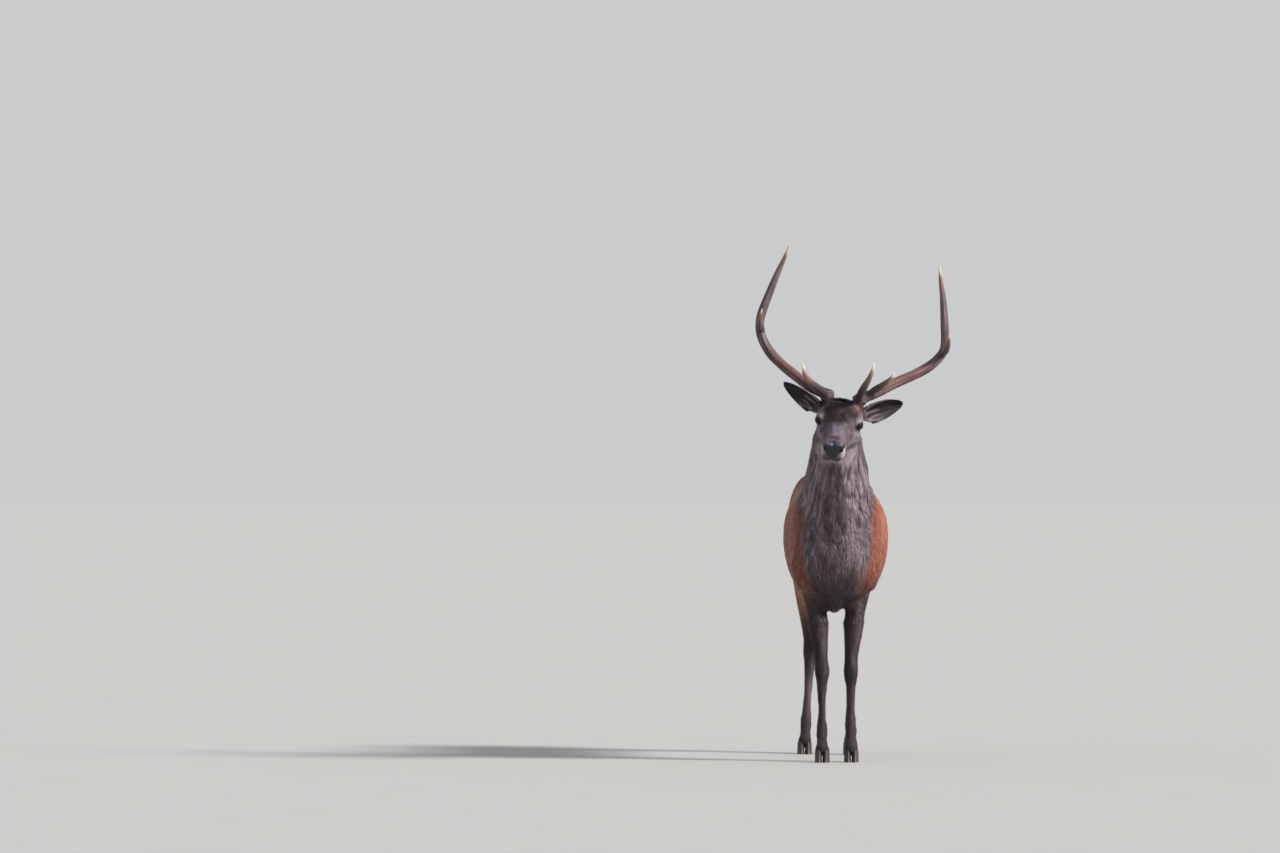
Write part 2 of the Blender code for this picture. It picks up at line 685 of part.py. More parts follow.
def horn_of_foot(leg, foot, fetlock, grow=0.0):
    made = []
    for label, inner in (("a", 1), ("b", -1)):
        made.append(claw(f"hoof_{leg}_{label}", foot, inner, grow))
        made.append(dewclaw(f"dewclaw_{leg}_{label}", fetlock, -inner, grow))
    return made


# ---- the whole ----------------------------------------------------------------------------------------------
def slanting(cut, axis):
    point, turn = cut
    return Matrix.Translation(point) @ Matrix.Rotation(turn, 4, axis)


def part_flesh(whole, soles):
    """Names the flesh's pieces, from the ends inwards. What is left at last is the trunk."""
    far = 2.0
    pieces = {}
    pieces["head"] = take(whole, "head", (-0.3, -0.5, 0), (0.3, 0.5, 0.6), slanting(THROAT_CUT, "X"))
    pieces["neck"] = take(whole, "neck", (-0.4, -0.4, -0.02), (0.4, 0.4, 0.6), slanting(SHOULDER_CUT, "X"))
    pieces["tail"] = take(whole, "tail", (-0.06, 0.0, -0.2), (0.06, 0.1, 0.052), slanting(TAIL_CUT, "X"))
    for name, side in SIDES.items():
        near, outer = sorted((0.001 * side, 0.5 * side))
        fore, hind = f"foreleg_{name}", f"hindleg_{name}"
        pieces[f"{fore}_lower"] = take(whole, f"{fore}_lower", (near, -far, -0.1), (outer, 0, KNEE_CUT))
        pieces[f"{fore}_upper"] = take(whole, f"{fore}_upper", (near, -far, 0.3), (outer, 0, ELBOW_CUT))
        pieces[f"{hind}_lower"] = take(whole, f"{hind}_lower", (near, 0, -0.1), (outer, far, HOCK_CUT))
        pieces[f"{hind}_shank"] = take(whole, f"{hind}_shank", (near, 0, 0.3), (outer, far, SHANK_CUT))
        point, turn = THIGH_CUT
        wedge = slanting(((point[0] * side, *point[1:]), turn * side), "Y")
        inner, out = sorted((0.0, 0.40 * side))
        thigh = take(whole, f"{hind}_thigh", (inner, 0.190, -0.07), (out, 0.60, 0.30), wedge)
        pieces[f"{hind}_thigh"] = thigh
    whole.name = "trunk"
    pieces["trunk"] = whole
    for leg, (foot, fetlock) in soles.items():
        carve(pieces[f"{leg}_lower"], horn_of_foot("cut_" + leg, foot, fetlock, grow=GAP))
    return pieces


def main():
    for obj in list(bpy.data.objects):
        bpy.data.objects.remove(obj)
    bpy.context.scene.collection.children.link(bpy.data.collections.new(STAG))
    soles = feet()
    pieces = part_flesh(flesh(), soles)
    for name in SIDES:
        carve(pieces["head"], [eye(name, GAP), ear("ear_cut", name, GAP), beam("beam_cut", name, grow=GAP)])
    for name, piece in pieces.items():
        if name.startswith(("foreleg", "hindleg")) and "thigh" not in name:
            finish(piece, LEG_BROWN)
        elif name in ("trunk", "tail") or "thigh" in name:
            finish(piece, COAT_RED)
        else:
            finish(piece, COAT_GREY)
    for name in SIDES:
        finish(eye(name), EYE_BLACK, roughness=0.1)
        finish(ear(f"ear_{name}", name), COAT_GREY)
        for piece in antler(name):
            finish(piece, ANTLER_BROWN, roughness=0.55)
    for leg, (foot, fetlock) in soles.items():
        for piece in horn_of_foot(leg, foot, fetlock):
            finish(piece, HORN_BLACK, roughness=0.5)


main()
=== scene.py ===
"""Red deer stag, life size: the looks of a still display model.

One skin of head, ears, neck, trunk, legs and tail lies inside the coat. Over it lies the hair, in tufts and
locks that follow the coat's lie. Antlers, eyes, hooves and dewclaws are pieces of their own, and lashes and
whiskers are single stiff hairs.
Metres, +Z up. The stag faces -Y and its left side is +X. Everything is made about the stag's own mid-line,
and moved over the model's origin last.
"""

import math

import bmesh
import bpy
import numpy as np
from mathutils import Matrix, Vector
from mathutils.bvhtree import BVHTree
from mathutils.kdtree import KDTree


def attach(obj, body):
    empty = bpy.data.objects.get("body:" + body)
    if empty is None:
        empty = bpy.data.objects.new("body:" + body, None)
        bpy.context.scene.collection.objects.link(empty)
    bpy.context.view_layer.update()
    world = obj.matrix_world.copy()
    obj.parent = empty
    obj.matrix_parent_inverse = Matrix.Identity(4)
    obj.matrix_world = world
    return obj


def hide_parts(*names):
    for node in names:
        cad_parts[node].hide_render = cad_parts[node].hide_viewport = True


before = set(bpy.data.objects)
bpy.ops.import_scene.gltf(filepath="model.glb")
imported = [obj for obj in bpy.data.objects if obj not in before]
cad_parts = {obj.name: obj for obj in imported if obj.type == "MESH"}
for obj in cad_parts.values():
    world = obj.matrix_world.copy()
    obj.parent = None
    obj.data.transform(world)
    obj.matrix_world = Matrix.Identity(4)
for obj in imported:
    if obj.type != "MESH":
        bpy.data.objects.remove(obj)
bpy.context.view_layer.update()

ORIGIN = Vector((-0.0627, 0.158, 0.0))  # the stag's mid-line in the model's own place
BODY = "root"
LEFT, RIGHT = 1, -1
SIDES = {"left": LEFT, "right": RIGHT}

# ---- carriage and stance -------------------------------------------------------------------------
EYE_LINE = Vector((0.003, -0.73, 1.360))
HEAD_PITCH, HEAD_YAW, HEAD_ROLL = math.radians(18), math.radians(-4), math.radians(8)
EYE_RADIUS = 0.0168
EYE_CENTRE = Vector((0.0770, -0.006, 0.004))
# In the head's axes: where the left eye looks, and the line of its lids from front corner to back corner.
GAZE = Vector((0.76, -0.65, 0.06)).normalized()
LID_LINE = Vector((0.30, 0.90, 0.30))

KNEE_HEIGHT, BELLY_HEIGHT, LEG_LENGTH = 0.38, 0.66, 0.70
# Each leg: how far out it stands at its top, at knee or hock and at the foot, and how far back the foot is.
FORE_STANCE = {"left": (0.082, 0.060, 0.061, 0.012), "right": (0.084, 0.056, 0.056, -0.014)}
HIND_STANCE = {"left": (0.098, 0.082, 0.078, -0.020), "right": (0.098, 0.083, 0.108, 0.034)}

# ---- sections of the body ------------------------------------------------------------------------
# Trunk, rump to breast: y, top, bottom, half width, height of the widest part (0 to 1), squareness.
TRUNK = (
    (0.592, 0.985, 0.880, 0.040, 0.50, 2.0),
    (0.562, 1.060, 0.800, 0.096, 0.52, 2.1),
    (0.500, 1.122, 0.745, 0.136, 0.56, 2.2),
    (0.410, 1.158, 0.715, 0.162, 0.60, 2.25),
    (0.310, 1.164, 0.690, 0.176, 0.60, 2.25),
    (0.190, 1.148, 0.652, 0.187, 0.58, 2.2),
    (0.060, 1.134, 0.616, 0.205, 0.56, 2.15),
    (-0.080, 1.134, 0.598, 0.211, 0.56, 2.1),
    (-0.200, 1.148, 0.592, 0.199, 0.55, 2.1),
    (-0.300, 1.172, 0.594, 0.176, 0.52, 2.0),
    (-0.400, 1.140, 0.606, 0.158, 0.46, 2.0),
    (-0.480, 1.060, 0.650, 0.138, 0.44, 2.1),
    (-0.545, 0.970, 0.720, 0.100, 0.45, 2.1),
    (-0.580, 0.890, 0.790, 0.045, 0.45, 2.0),
)
# Neck, withers to poll: y, z, half width, reach to the nape, reach to the throat.
NECK = (
    (-0.290, 0.880, 0.138, 0.220, 0.245),
    (-0.355, 0.975, 0.142, 0.190, 0.240),
    (-0.430, 1.070, 0.137, 0.146, 0.204),
    (-0.495, 1.160, 0.126, 0.116, 0.162),
    (-0.555, 1.245, 0.110, 0.101, 0.128),
    (-0.605, 1.312, 0.094, 0.090, 0.104),
    (-0.640, 1.355, 0.076, 0.070, 0.080),
)
# Head on its own axis: distance behind the eyes, top, bottom, half width, widest height, squareness.
HEAD = (
    (0.150, 0.026, -0.060, 0.038, 0.50, 2.0),
    (0.128, 0.056, -0.088, 0.066, 0.55, 2.1),
    (0.085, 0.080, -0.108, 0.080, 0.60, 2.2),
    (0.045, 0.077, -0.116, 0.086, 0.62, 2.1),
    (0.000, 0.059, -0.111, 0.086, 0.64, 2.0),
    (-0.045, 0.040, -0.101, 0.070, 0.62, 2.0),
    (-0.090, 0.026, -0.093, 0.056, 0.56, 2.1),
    (-0.135, 0.016, -0.093, 0.048, 0.52, 2.2),
    (-0.175, 0.011, -0.095, 0.046, 0.56, 2.3),
    (-0.210, 0.006, -0.095, 0.047, 0.62, 2.4),
    (-0.232, -0.001, -0.082, 0.042, 0.66, 2.4),
    (-0.244, -0.014, -0.052, 0.020, 0.60, 2.3),
)
# A foreleg from the elbow down: y, z, half width, reach to the front, reach to the back. Then a hind leg.
FORELEG = (
    (-0.405, 0.830, 0.055, 0.085, 0.085),
    (-0.365, 0.725, 0.060, 0.080, 0.082),
    (-0.350, 0.640, 0.052, 0.058, 0.062),
    (-0.364, 0.560, 0.043, 0.044, 0.046),
    (-0.378, 0.470, 0.0315, 0.031, 0.031),
    (-0.384, 0.405, 0.0270, 0.026, 0.026),
    (-0.386, 0.362, 0.0305, 0.029, 0.029),
    (-0.383, 0.318, 0.0240, 0.021, 0.025),
    (-0.380, 0.240, 0.0180, 0.016, 0.020),
    (-0.378, 0.168, 0.0185, 0.017, 0.022),
    (-0.378, 0.128, 0.0240, 0.021, 0.027),
    (-0.392, 0.088, 0.0215, 0.018, 0.020),
    (-0.408, 0.054, 0.0290, 0.024, 0.024),
    (-0.416, 0.030, 0.0295, 0.024, 0.022),
)
HINDLEG = (
    (0.400, 0.985, 0.070, 0.120, 0.130),
    (0.375, 0.860, 0.080, 0.150, 0.165),
    (0.335, 0.745, 0.066, 0.120, 0.150),
    (0.335, 0.660, 0.052, 0.088, 0.105),
    (0.378, 0.580, 0.038, 0.056, 0.066),
    (0.428, 0.508, 0.0270, 0.034, 0.042),
    (0.458, 0.455, 0.0230, 0.028, 0.044),
    (0.468, 0.412, 0.0265, 0.029, 0.038),
    (0.462, 0.360, 0.0225, 0.024, 0.025),
    (0.449, 0.270, 0.0180, 0.018, 0.020),
    (0.437, 0.180, 0.0185, 0.018, 0.022),
    (0.430, 0.136, 0.0240, 0.022, 0.027),
    (0.414, 0.092, 0.0215, 0.018, 0.020),
    (0.395, 0.054, 0.0290, 0.024, 0.024),
    (0.388, 0.030, 0.0295, 0.024, 0.022),
)
HOCK_POINT = (0.505, 0.478, 0, 0, 0)  # y and z of the point of the hock, as a row of the leg's table
TAIL = (
    (0.548, 1.050, 0.040, 0.036, 0.036),
    (0.585, 1.020, 0.038, 0.028, 0.030),
    (0.610, 0.965, 0.036, 0.024, 0.026),
    (0.620, 0.910, 0.032, 0.020, 0.022),
    (0.620, 0.868, 0.023, 0.014, 0.014),
    (0.618, 0.850, 0.010, 0.007, 0.007),
)
BARREL_BOW = 0.008  # how far the barrel swings to the stag's left
BELLY_RISE, KEEL_RISE = 0.024, 0.030  # how far the belly is drawn up, and the breast beside its keel
# Muscle and bone that stand out of the sections, on both sides: centre, half sizes, turn about X in degrees.
BODY_MASSES = (
    ((0.108, -0.345, 0.930), (0.062, 0.110, 0.215), 24),  # shoulder blade
    ((0.118, -0.395, 0.790), (0.062, 0.105, 0.120), -20),  # upper arm
    ((0.068, -0.492, 0.815), (0.068, 0.074, 0.110), 10),  # breast
    ((0.106, 0.400, 0.960), (0.060, 0.150, 0.165), 10),  # croup
    ((0.112, 0.290, 0.735), (0.052, 0.072, 0.095), -20),  # stifle
    ((0.090, 0.468, 0.825), (0.060, 0.092, 0.180), -16),  # hamstrings
)
HEAD_MASSES = (
    ((0.056, 0.045, -0.052), (0.030, 0.052, 0.058), 0),  # cheek muscle
    ((0.068, 0.012, 0.026), (0.030, 0.040, 0.022), 18),  # brow over the eye
    ((0.062, 0.006, -0.029), (0.028, 0.042, 0.022), 12),  # cheekbone under the eye
    ((0.059, 0.084, 0.060), (0.028, 0.028, 0.026), 0),  # foot of the antler
    ((0.079, 0.088, 0.018), (0.022, 0.023, 0.028), 0),  # root of the ear
    ((0.022, -0.194, -0.082), (0.021, 0.034, 0.019), 0),  # lower lip
)

# ---- antlers in the head's axes, each from its burr: outwards, back, up, radius ------------------
BURR = Vector((0.0625, 0.084, 0.078))
BEAMS = {
    "left": (
        (0.000, -0.004, -0.016, 0.0200),
        (0.004, 0.004, 0.000, 0.0265),
        (0.018, 0.018, 0.008, 0.0218),
        (0.058, 0.045, 0.024, 0.0212),
        (0.130, 0.100, 0.058, 0.0206),
        (0.202, 0.150, 0.090, 0.0202),
        (0.255, 0.190, 0.118, 0.0196),
        (0.288, 0.215, 0.152, 0.0188),
        (0.302, 0.236, 0.186, 0.0178),
        (0.298, 0.255, 0.240, 0.0166),
        (0.284, 0.270, 0.316, 0.0148),
        (0.267, 0.275, 0.398, 0.0118),
        (0.252, 0.272, 0.458, 0.0082),
        (0.240, 0.265, 0.518, 0.0030),
    ),
    "right": (
        (0.000, -0.004, -0.016, 0.0200),
        (0.004, 0.004, 0.000, 0.0265),
        (0.020, 0.018, 0.004, 0.0220),
        (0.068, 0.045, 0.011, 0.0214),
        (0.136, 0.100, 0.028, 0.0208),
        (0.206, 0.145, 0.057, 0.0204),
        (0.263, 0.185, 0.090, 0.0198),
        (0.300, 0.210, 0.134, 0.0190),
        (0.315, 0.232, 0.184, 0.0178),
        (0.311, 0.252, 0.238, 0.0166),
        (0.292, 0.268, 0.312, 0.0148),
        (0.270, 0.275, 0.396, 0.0118),
        (0.252, 0.272, 0.458, 0.0082),
        (0.238, 0.265, 0.518, 0.0030),
    ),
}
TINES = {
    "brow_tine_left": (
        (0.000, -0.004, 0.004, 0.0150),
        (0.007, -0.050, 0.048, 0.0148),
        (0.022, -0.090, 0.097, 0.0132),
        (0.038, -0.105, 0.144, 0.0096),
        (0.044, -0.100, 0.174, 0.0060),
        (0.046, -0.090, 0.200, 0.0022),
    ),
    "bez_tine_left": (
        (0.034, 0.030, 0.016, 0.0140),
        (0.056, 0.015, 0.047, 0.0135),
        (0.090, 0.000, 0.082, 0.0112),
        (0.114, -0.010, 0.112, 0.0070),
        (0.129, -0.010, 0.141, 0.0022),
    ),
    "tray_tine_left": (
        (0.294, 0.222, 0.164, 0.0130),
        (0.312, 0.176, 0.196, 0.0120),
        (0.320, 0.142, 0.240, 0.0090),
        (0.321, 0.122, 0.290, 0.0024),
    ),
    "brow_tine_right": (
        (0.004, -0.004, 0.004, 0.0155),
        (0.040, -0.050, 0.045, 0.0152),
        (0.070, -0.080, 0.075, 0.0136),
        (0.094, -0.090, 0.106, 0.0100),
        (0.105, -0.085, 0.130, 0.0060),
        (0.110, -0.076, 0.150, 0.0022),
    ),
    "tray_tine_right": (
        (0.306, 0.220, 0.160, 0.0130),
        (0.314, 0.174, 0.190, 0.0120),
        (0.314, 0.140, 0.234, 0.0090),
        (0.308, 0.122, 0.284, 0.0024),
    ),
}

# ---- ears and hooves -----------------------------------------------------------------------------
EAR_ROOT = Vector((0.080, 0.088, 0.018))
EAR_LENGTH, EAR_WIDTH, EAR_CUP, EAR_WALL = 0.184, 0.094, 0.034, 0.0062
EAR_TIP_CUP, EAR_TIP_CURL = 0.006, 0.012  # the cup left at the tip, and how far the tip curls
EAR_RISE = {"left": math.radians(14), "right": math.radians(28)}
EAR_BACK = {"left": math.radians(34), "right": math.radians(12)}
EAR_TURN = {"left": math.radians(8), "right": math.radians(26)}

HOOF_LENGTH, CLAW_WIDTH, CLAW_SPREAD = 0.074, 0.0300, 0.0146
CLAW_SPLAY = math.radians(2)
INNER_WALL, TOE_NARROWING, INNER_NARROWING = 0.92, 0.50, 0.16
CLAW_FORWARD = 0.012  # how far the claws' middle lies before the leg's
HEEL_DROP = 0.45  # how much lower the horn is at the heel
RING_RATE = 1250  # radians a metre: a ring of growth every 5 mm
RING_DEPTH = 0.006  # as share of the claw's width
# Height, how far the toe and the heel are drawn back, and share of the full width.
CLAW_RINGS = (
    (0.000, 0.000, 0.000, 0.97),
    (0.010, 0.005, -0.002, 1.00),
    (0.032, 0.022, -0.003, 0.94),
    (0.050, 0.036, -0.002, 0.84),
)


def leaning_plane(y, z, degrees):
    """A plane across the neck: a point on it, and the direction towards the head."""
    lean = math.radians(degrees)
    return Vector((0, y, z)), Vector((0, -math.sin(lean), math.cos(lean)))


THROAT = leaning_plane(-0.680, 1.222, 37)  # parts head from neck
SHOULDER = leaning_plane(-0.430, 1.070, 38)  # parts neck from trunk


# ---- shapes --------------------------------------------------------------------------------------
def smooth_rows(rows, steps):
    """Rows of numbers joined by a smooth curve through each, with that many steps from row to row."""
    rows = np.array(rows, float)
    ends = np.vstack([2 * rows[0] - rows[1], rows, 2 * rows[-1] - rows[-2]])
    made = []
    for i in range(1, len(rows)):
        a, b, c, d = ends[i - 1 : i + 3]
        square, cube = 2 * a - 5 * b + 4 * c - d, 3 * b - a - 3 * c + d
        made += [0.5 * (2 * b + (c - a) * t + square * t**2 + cube * t**3) for t in np.arange(steps) / steps]
    return np.array(made + [rows[-1]])


def mesh_object(name, points, faces):
    mesh = bpy.data.meshes.new(name)
    mesh.from_pydata(points, [], faces)
    made = bpy.data.objects.new(name, mesh)
    bpy.context.scene.collection.objects.link(made)
    return made


def from_bmesh(name, shape):
    made = mesh_object(name, [], [])
    shape.to_mesh(made.data)
    shape.free()
    return made


def face_outwards(obj, triangles=False):
    """Turns every face outwards, after splitting them into triangles if asked."""
    shape = bmesh.new()
    shape.from_mesh(obj.data)
    if triangles:
        bmesh.ops.triangulate(shape, faces=shape.faces)
    bmesh.ops.recalc_face_normals(shape, faces=shape.faces)
    shape.to_mesh(obj.data)
    shape.free()
    return obj


def loft(name, rings):
    """A closed skin over rings of as many points each, with a fan over each end."""
    count, sides = len(rings), len(rings[0])
    points = [tuple(p) for ring in rings for p in ring]
    points += [tuple(np.mean(rings[0], 0)), tuple(np.mean(rings[-1], 0))]
    faces = [
        (i * sides + j, i * sides + (j + 1) % sides, (i + 1) * sides + (j + 1) % sides, (i + 1) * sides + j)
        for i in range(count - 1)
        for j in range(sides)
    ]
    first, last = count * sides, count * sides + 1
    faces += [(first, (j + 1) % sides, j) for j in range(sides)]
    faces += [(last, (count - 1) * sides + j, (count - 1) * sides + (j + 1) % sides) for j in range(sides)]
    return face_outwards(mesh_object(name, points, faces))


def section(sides, width, up, down, squareness=2.0):
    """Sideways and upward offsets round a squared ellipse whose upper and lower halves differ."""
    turn = np.arange(sides) * 2 * math.pi / sides
    c, s = np.cos(turn), np.sin(turn)
    power = 2 / squareness
    across = width * np.sign(c) * np.abs(c) ** power
    rise = np.where(s > 0, up, down) * np.sign(s) * np.abs(s) ** power
    return across, rise


def upright_loft(name, rows, sides=48, steps=8):
    """A loft of upright sections along Y: y, top, bottom, half width, height of the widest, squareness."""
    rings = []
    for y, top, bottom, width, widest, squareness in smooth_rows(rows, steps):
        middle = bottom + widest * (top - bottom)
        across, rise = section(sides, max(width, 0.002), top - middle, middle - bottom, squareness)
        rings.append(np.stack([across, np.full(sides, y), middle + rise], axis=1))
    return loft(name, rings)


def limb(name, rows, sides=32, steps=7):
    """A loft square to its own path: x, y, z, half width, reach to one side of the path and to the other."""
    rows = smooth_rows(rows, steps)
    path = rows[:, :3]
    rings = []
    for centre, t, (width, front, back) in zip(path, np.gradient(path, axis=0), rows[:, 3:]):
        t = t / np.linalg.norm(t)
        e1 = np.array([1.0, 0, 0]) - t[0] * t
        e1 /= np.linalg.norm(e1)
        e2 = np.cross(t, e1)
        across, rise = section(sides, width, front, back)
        rings.append(centre + np.outer(across, e1) + np.outer(rise, e2))
    return loft(name, rings)


def carried(path):
    """Directions along a path, and a side and an upward direction carried along it without twist."""
    along = np.gradient(path, axis=0)
    along /= np.linalg.norm(along, axis=1)[:, None]
    side, sides = np.array([0.0, 1.0, 0.0]), []
    for t in along:
        side = side - side @ t * t
        side = side / np.linalg.norm(side)
        sides.append(side)
    sides = np.array(sides)
    return along, sides, np.cross(along, sides)


def rod(name, rows, sides=24, steps=8):
    """A round loft: x, y, z, radius."""
    rows = smooth_rows(rows, steps)
    _, side, other = carried(rows[:, :3])
    turn = np.arange(sides) * 2 * math.pi / sides
    rings = [
        centre + radius * (np.outer(np.cos(turn), a) + np.outer(np.sin(turn), b))
        for centre, radius, a, b in zip(rows[:, :3], rows[:, 3], side, other)
    ]
    return loft(name, rings)


def ball(name, matrix, rings=24, sides=36):
    shape = bmesh.new()
    bmesh.ops.create_uvsphere(shape, u_segments=sides, v_segments=rings, radius=1.0, matrix=matrix)
    return from_bmesh(name, shape)


def mass(name, centre, half_sizes, turn, side):
    """An egg of muscle or bone on one side of the animal."""
    centre = Vector((centre[0] * side, centre[1], centre[2]))
    matrix = Matrix.Translation(centre) @ Matrix.Rotation(math.radians(turn), 4, "X")
    return ball(name, matrix @ Matrix.Diagonal((*half_sizes, 1)))


def place(obj, matrix):
    obj.data.transform(matrix)
    if matrix.determinant() < 0:
        obj.data.flip_normals()
    return obj


def settle(obj):
    """The object with its modifiers taken up into a mesh of its own."""
    graph = bpy.context.evaluated_depsgraph_get()
    made = bpy.data.meshes.new_from_object(obj.evaluated_get(graph))
    obj.modifiers.clear()
    obj.data = made
    return obj


def joined(name, pieces):
    """Several meshes as one object, still overlapping."""
    shape = bmesh.new()
    for piece in pieces:
        shape.from_mesh(piece.data)
        bpy.data.objects.remove(piece)
    return from_bmesh(name, shape)


def soften(obj, times, factor=0.5, group=None):
    smooth = obj.modifiers.new("soften", "SMOOTH")
    smooth.factor, smooth.iterations = factor, times
    if group:
        smooth.vertex_group = group
    return settle(obj)


def fuse(obj, voxel, smoothing):
    remesh = obj.modifiers.new("fuse", "REMESH")
    remesh.mode = "VOXEL"
    remesh.voxel_size = voxel
    settle(obj)
    return soften(obj, smoothing) if smoothing else obj


def boolean(obj, other, operation):
    cut = obj.modifiers.new(operation.lower(), "BOOLEAN")
    cut.operation = operation
    cut.solver = "MANIFOLD"
    cut.object = other
    settle(obj)
    bpy.data.objects.remove(other)
    return obj


# ---- numbers over many points --------------------------------------------------------------------
def read_vertices(obj, key):
    found = np.empty(len(obj.data.vertices) * 3, np.float32)
    obj.data.vertices.foreach_get(key, found)
    return found.reshape(-1, 3).astype(float)


def points_of(obj):
    return read_vertices(obj, "co")


def normals_of(obj):
    return read_vertices(obj, "normal")


def set_points(obj, points):
    obj.data.vertices.foreach_set("co", points.astype(np.float32).ravel())
    obj.data.update()


def through(matrix, points):
    """Points taken through a matrix."""
    m = np.array(matrix)
    return points @ m[:3, :3].T + m[:3, 3]


def unit(vectors):
    return vectors / np.maximum(np.linalg.norm(vectors, axis=-1, keepdims=True), 1e-9)


def ramp(value, low, high):
    """0 at low, 1 at high, smooth between them."""
    t = np.clip((value - low) / (high - low), 0, 1)
    return t * t * (3 - 2 * t)


def egg(points, centre, sizes, core=0.35):
    """1 in the core of an egg-shaped region, 0 outside it."""
    reach = np.linalg.norm((points - np.array(centre)) / np.array(sizes), axis=1)
    return 1 - ramp(reach, core, 1.0)


def both(function):
    """The larger of a region's value on the left side and on the right."""
    return np.maximum(function(LEFT), function(RIGHT))


def beyond(points, plane):
    """Distance past a plane, towards the head."""
    return (points - np.array(plane[0])) @ np.array(plane[1])


def waves(seed, size, count=14, grain=None, squeeze=0.0):
    """Wave vectors and phases of a smooth random pattern; squeeze stretches it along the grain."""
    draw = np.random.default_rng(seed)
    k = unit(draw.normal(size=(count, 3)))
    if grain is not None:
        grain = np.array(grain) / np.linalg.norm(grain)
        k = k - squeeze * np.outer(k @ grain, grain)
    k = k * (2 * math.pi / size) * draw.uniform(0.6, 1.5, (count, 1))
    return k, draw.uniform(0, 2 * math.pi, count)


def wobble(points, pattern):
    """A smooth random pattern, mostly within -1 to 1."""
    k, phase = pattern
    return np.sin(points @ k.T + phase).sum(1) / math.sqrt(len(k))


def wobble_slope(points, pattern):
    k, phase = pattern
    return np.cos(points @ k.T + phase) @ k / math.sqrt(len(k))


def groove(points, path, width):
    """1 along a path of points, falling to 0 at the width."""
    path = np.array(path, float)
    nearest = np.full(len(points), np.inf)
    for a, b in zip(path[:-1], path[1:]):
        along = b - a
        share = np.clip((points - a) @ along / (along @ along), 0, 1)
        nearest = np.minimum(nearest, np.linalg.norm(points - a - np.outer(share, along), axis=1))
    return np.exp(-((nearest / (0.5 * width)) ** 2))


# ---- the head's own axes -------------------------------------------------------------------------
def head_matrix():
    turn = Matrix.Rotation(HEAD_YAW, 4, "Z") @ Matrix.Rotation(HEAD_ROLL, 4, "Y")
    return Matrix.Translation(EYE_LINE) @ turn @ Matrix.Rotation(HEAD_PITCH, 4, "X")


HEAD_AXES = head_matrix()
HEAD_TURN = np.array(HEAD_AXES.to_3x3())
MIRROR = Matrix.Diagonal((-1, 1, 1, 1))


def in_head(p):
    """Points in the head's own axes."""
    return through(HEAD_AXES.inverted(), p)


def side_matrix(side):
    return Matrix.Identity(4) if side == LEFT else MIRROR


def ear_axes(side_name):
    pose = Matrix.Translation(EAR_ROOT)
    pose = pose @ Matrix.Rotation(EAR_BACK[side_name], 4, "Z") @ Matrix.Rotation(-EAR_RISE[side_name], 4, "Y")
    return HEAD_AXES @ side_matrix(SIDES[side_name]) @ pose @ Matrix.Rotation(EAR_TURN[side_name], 4, "X")


def antler_axes(side):
    return HEAD_AXES @ side_matrix(side) @ Matrix.Translation(BURR)


def eye_axes(side):
    """At the eye's centre: Z out along the gaze, X back along the lids, Y up."""
    back = (LID_LINE - LID_LINE.dot(GAZE) * GAZE).normalized()
    turn = Matrix((back, GAZE.cross(back), GAZE)).transposed().to_4x4()
    return HEAD_AXES @ side_matrix(side) @ Matrix.Translation(EYE_CENTRE) @ turn


# ---- the skin's pieces ---------------------------------------------------------------------------
BODY_VOXEL, BODY_SMOOTHING = 0.0092, 13
HEAD_VOXEL, HEAD_SMOOTHING = 0.0027, 10
LID_THICKNESS = 0.0030
OPENING_REACH = 0.0164  # half the length of the gap between the lids
LID_RISE, LID_DROP = 0.60, 0.44  # how far the gap opens up and down, as shares of that
LID_CURVE = 1.25  # above 1 the lids meet in points
# The cut between the lids: how far out, and half its length there.
LID_CUT = ((0.003, 0.0128), (0.010, 0.0152), (0.015, OPENING_REACH), (0.021, 0.0200), (0.036, 0.0310))
LEG_FILLING = 0.0032  # what the smoothing takes off the legs


def leg_rows(table, stance, side):
    """The leg's rows with their sideways place: from hip or elbow to knee or hock, and on to the hoof."""
    top, middle, foot, shift = stance
    rows = []
    for y, z, width, front, back in table:
        if z > KNEE_HEIGHT:
            share = min(1.0, (z - KNEE_HEIGHT) / (BELLY_HEIGHT - KNEE_HEIGHT))
            x = middle + (top - middle) * share**1.2
        else:
            x = foot + (middle - foot) * z / KNEE_HEIGHT
        lean = shift * max(0.0, 1 - z / LEG_LENGTH)
        rows.append((side * x, y + lean, z, width, front, back))
    return rows


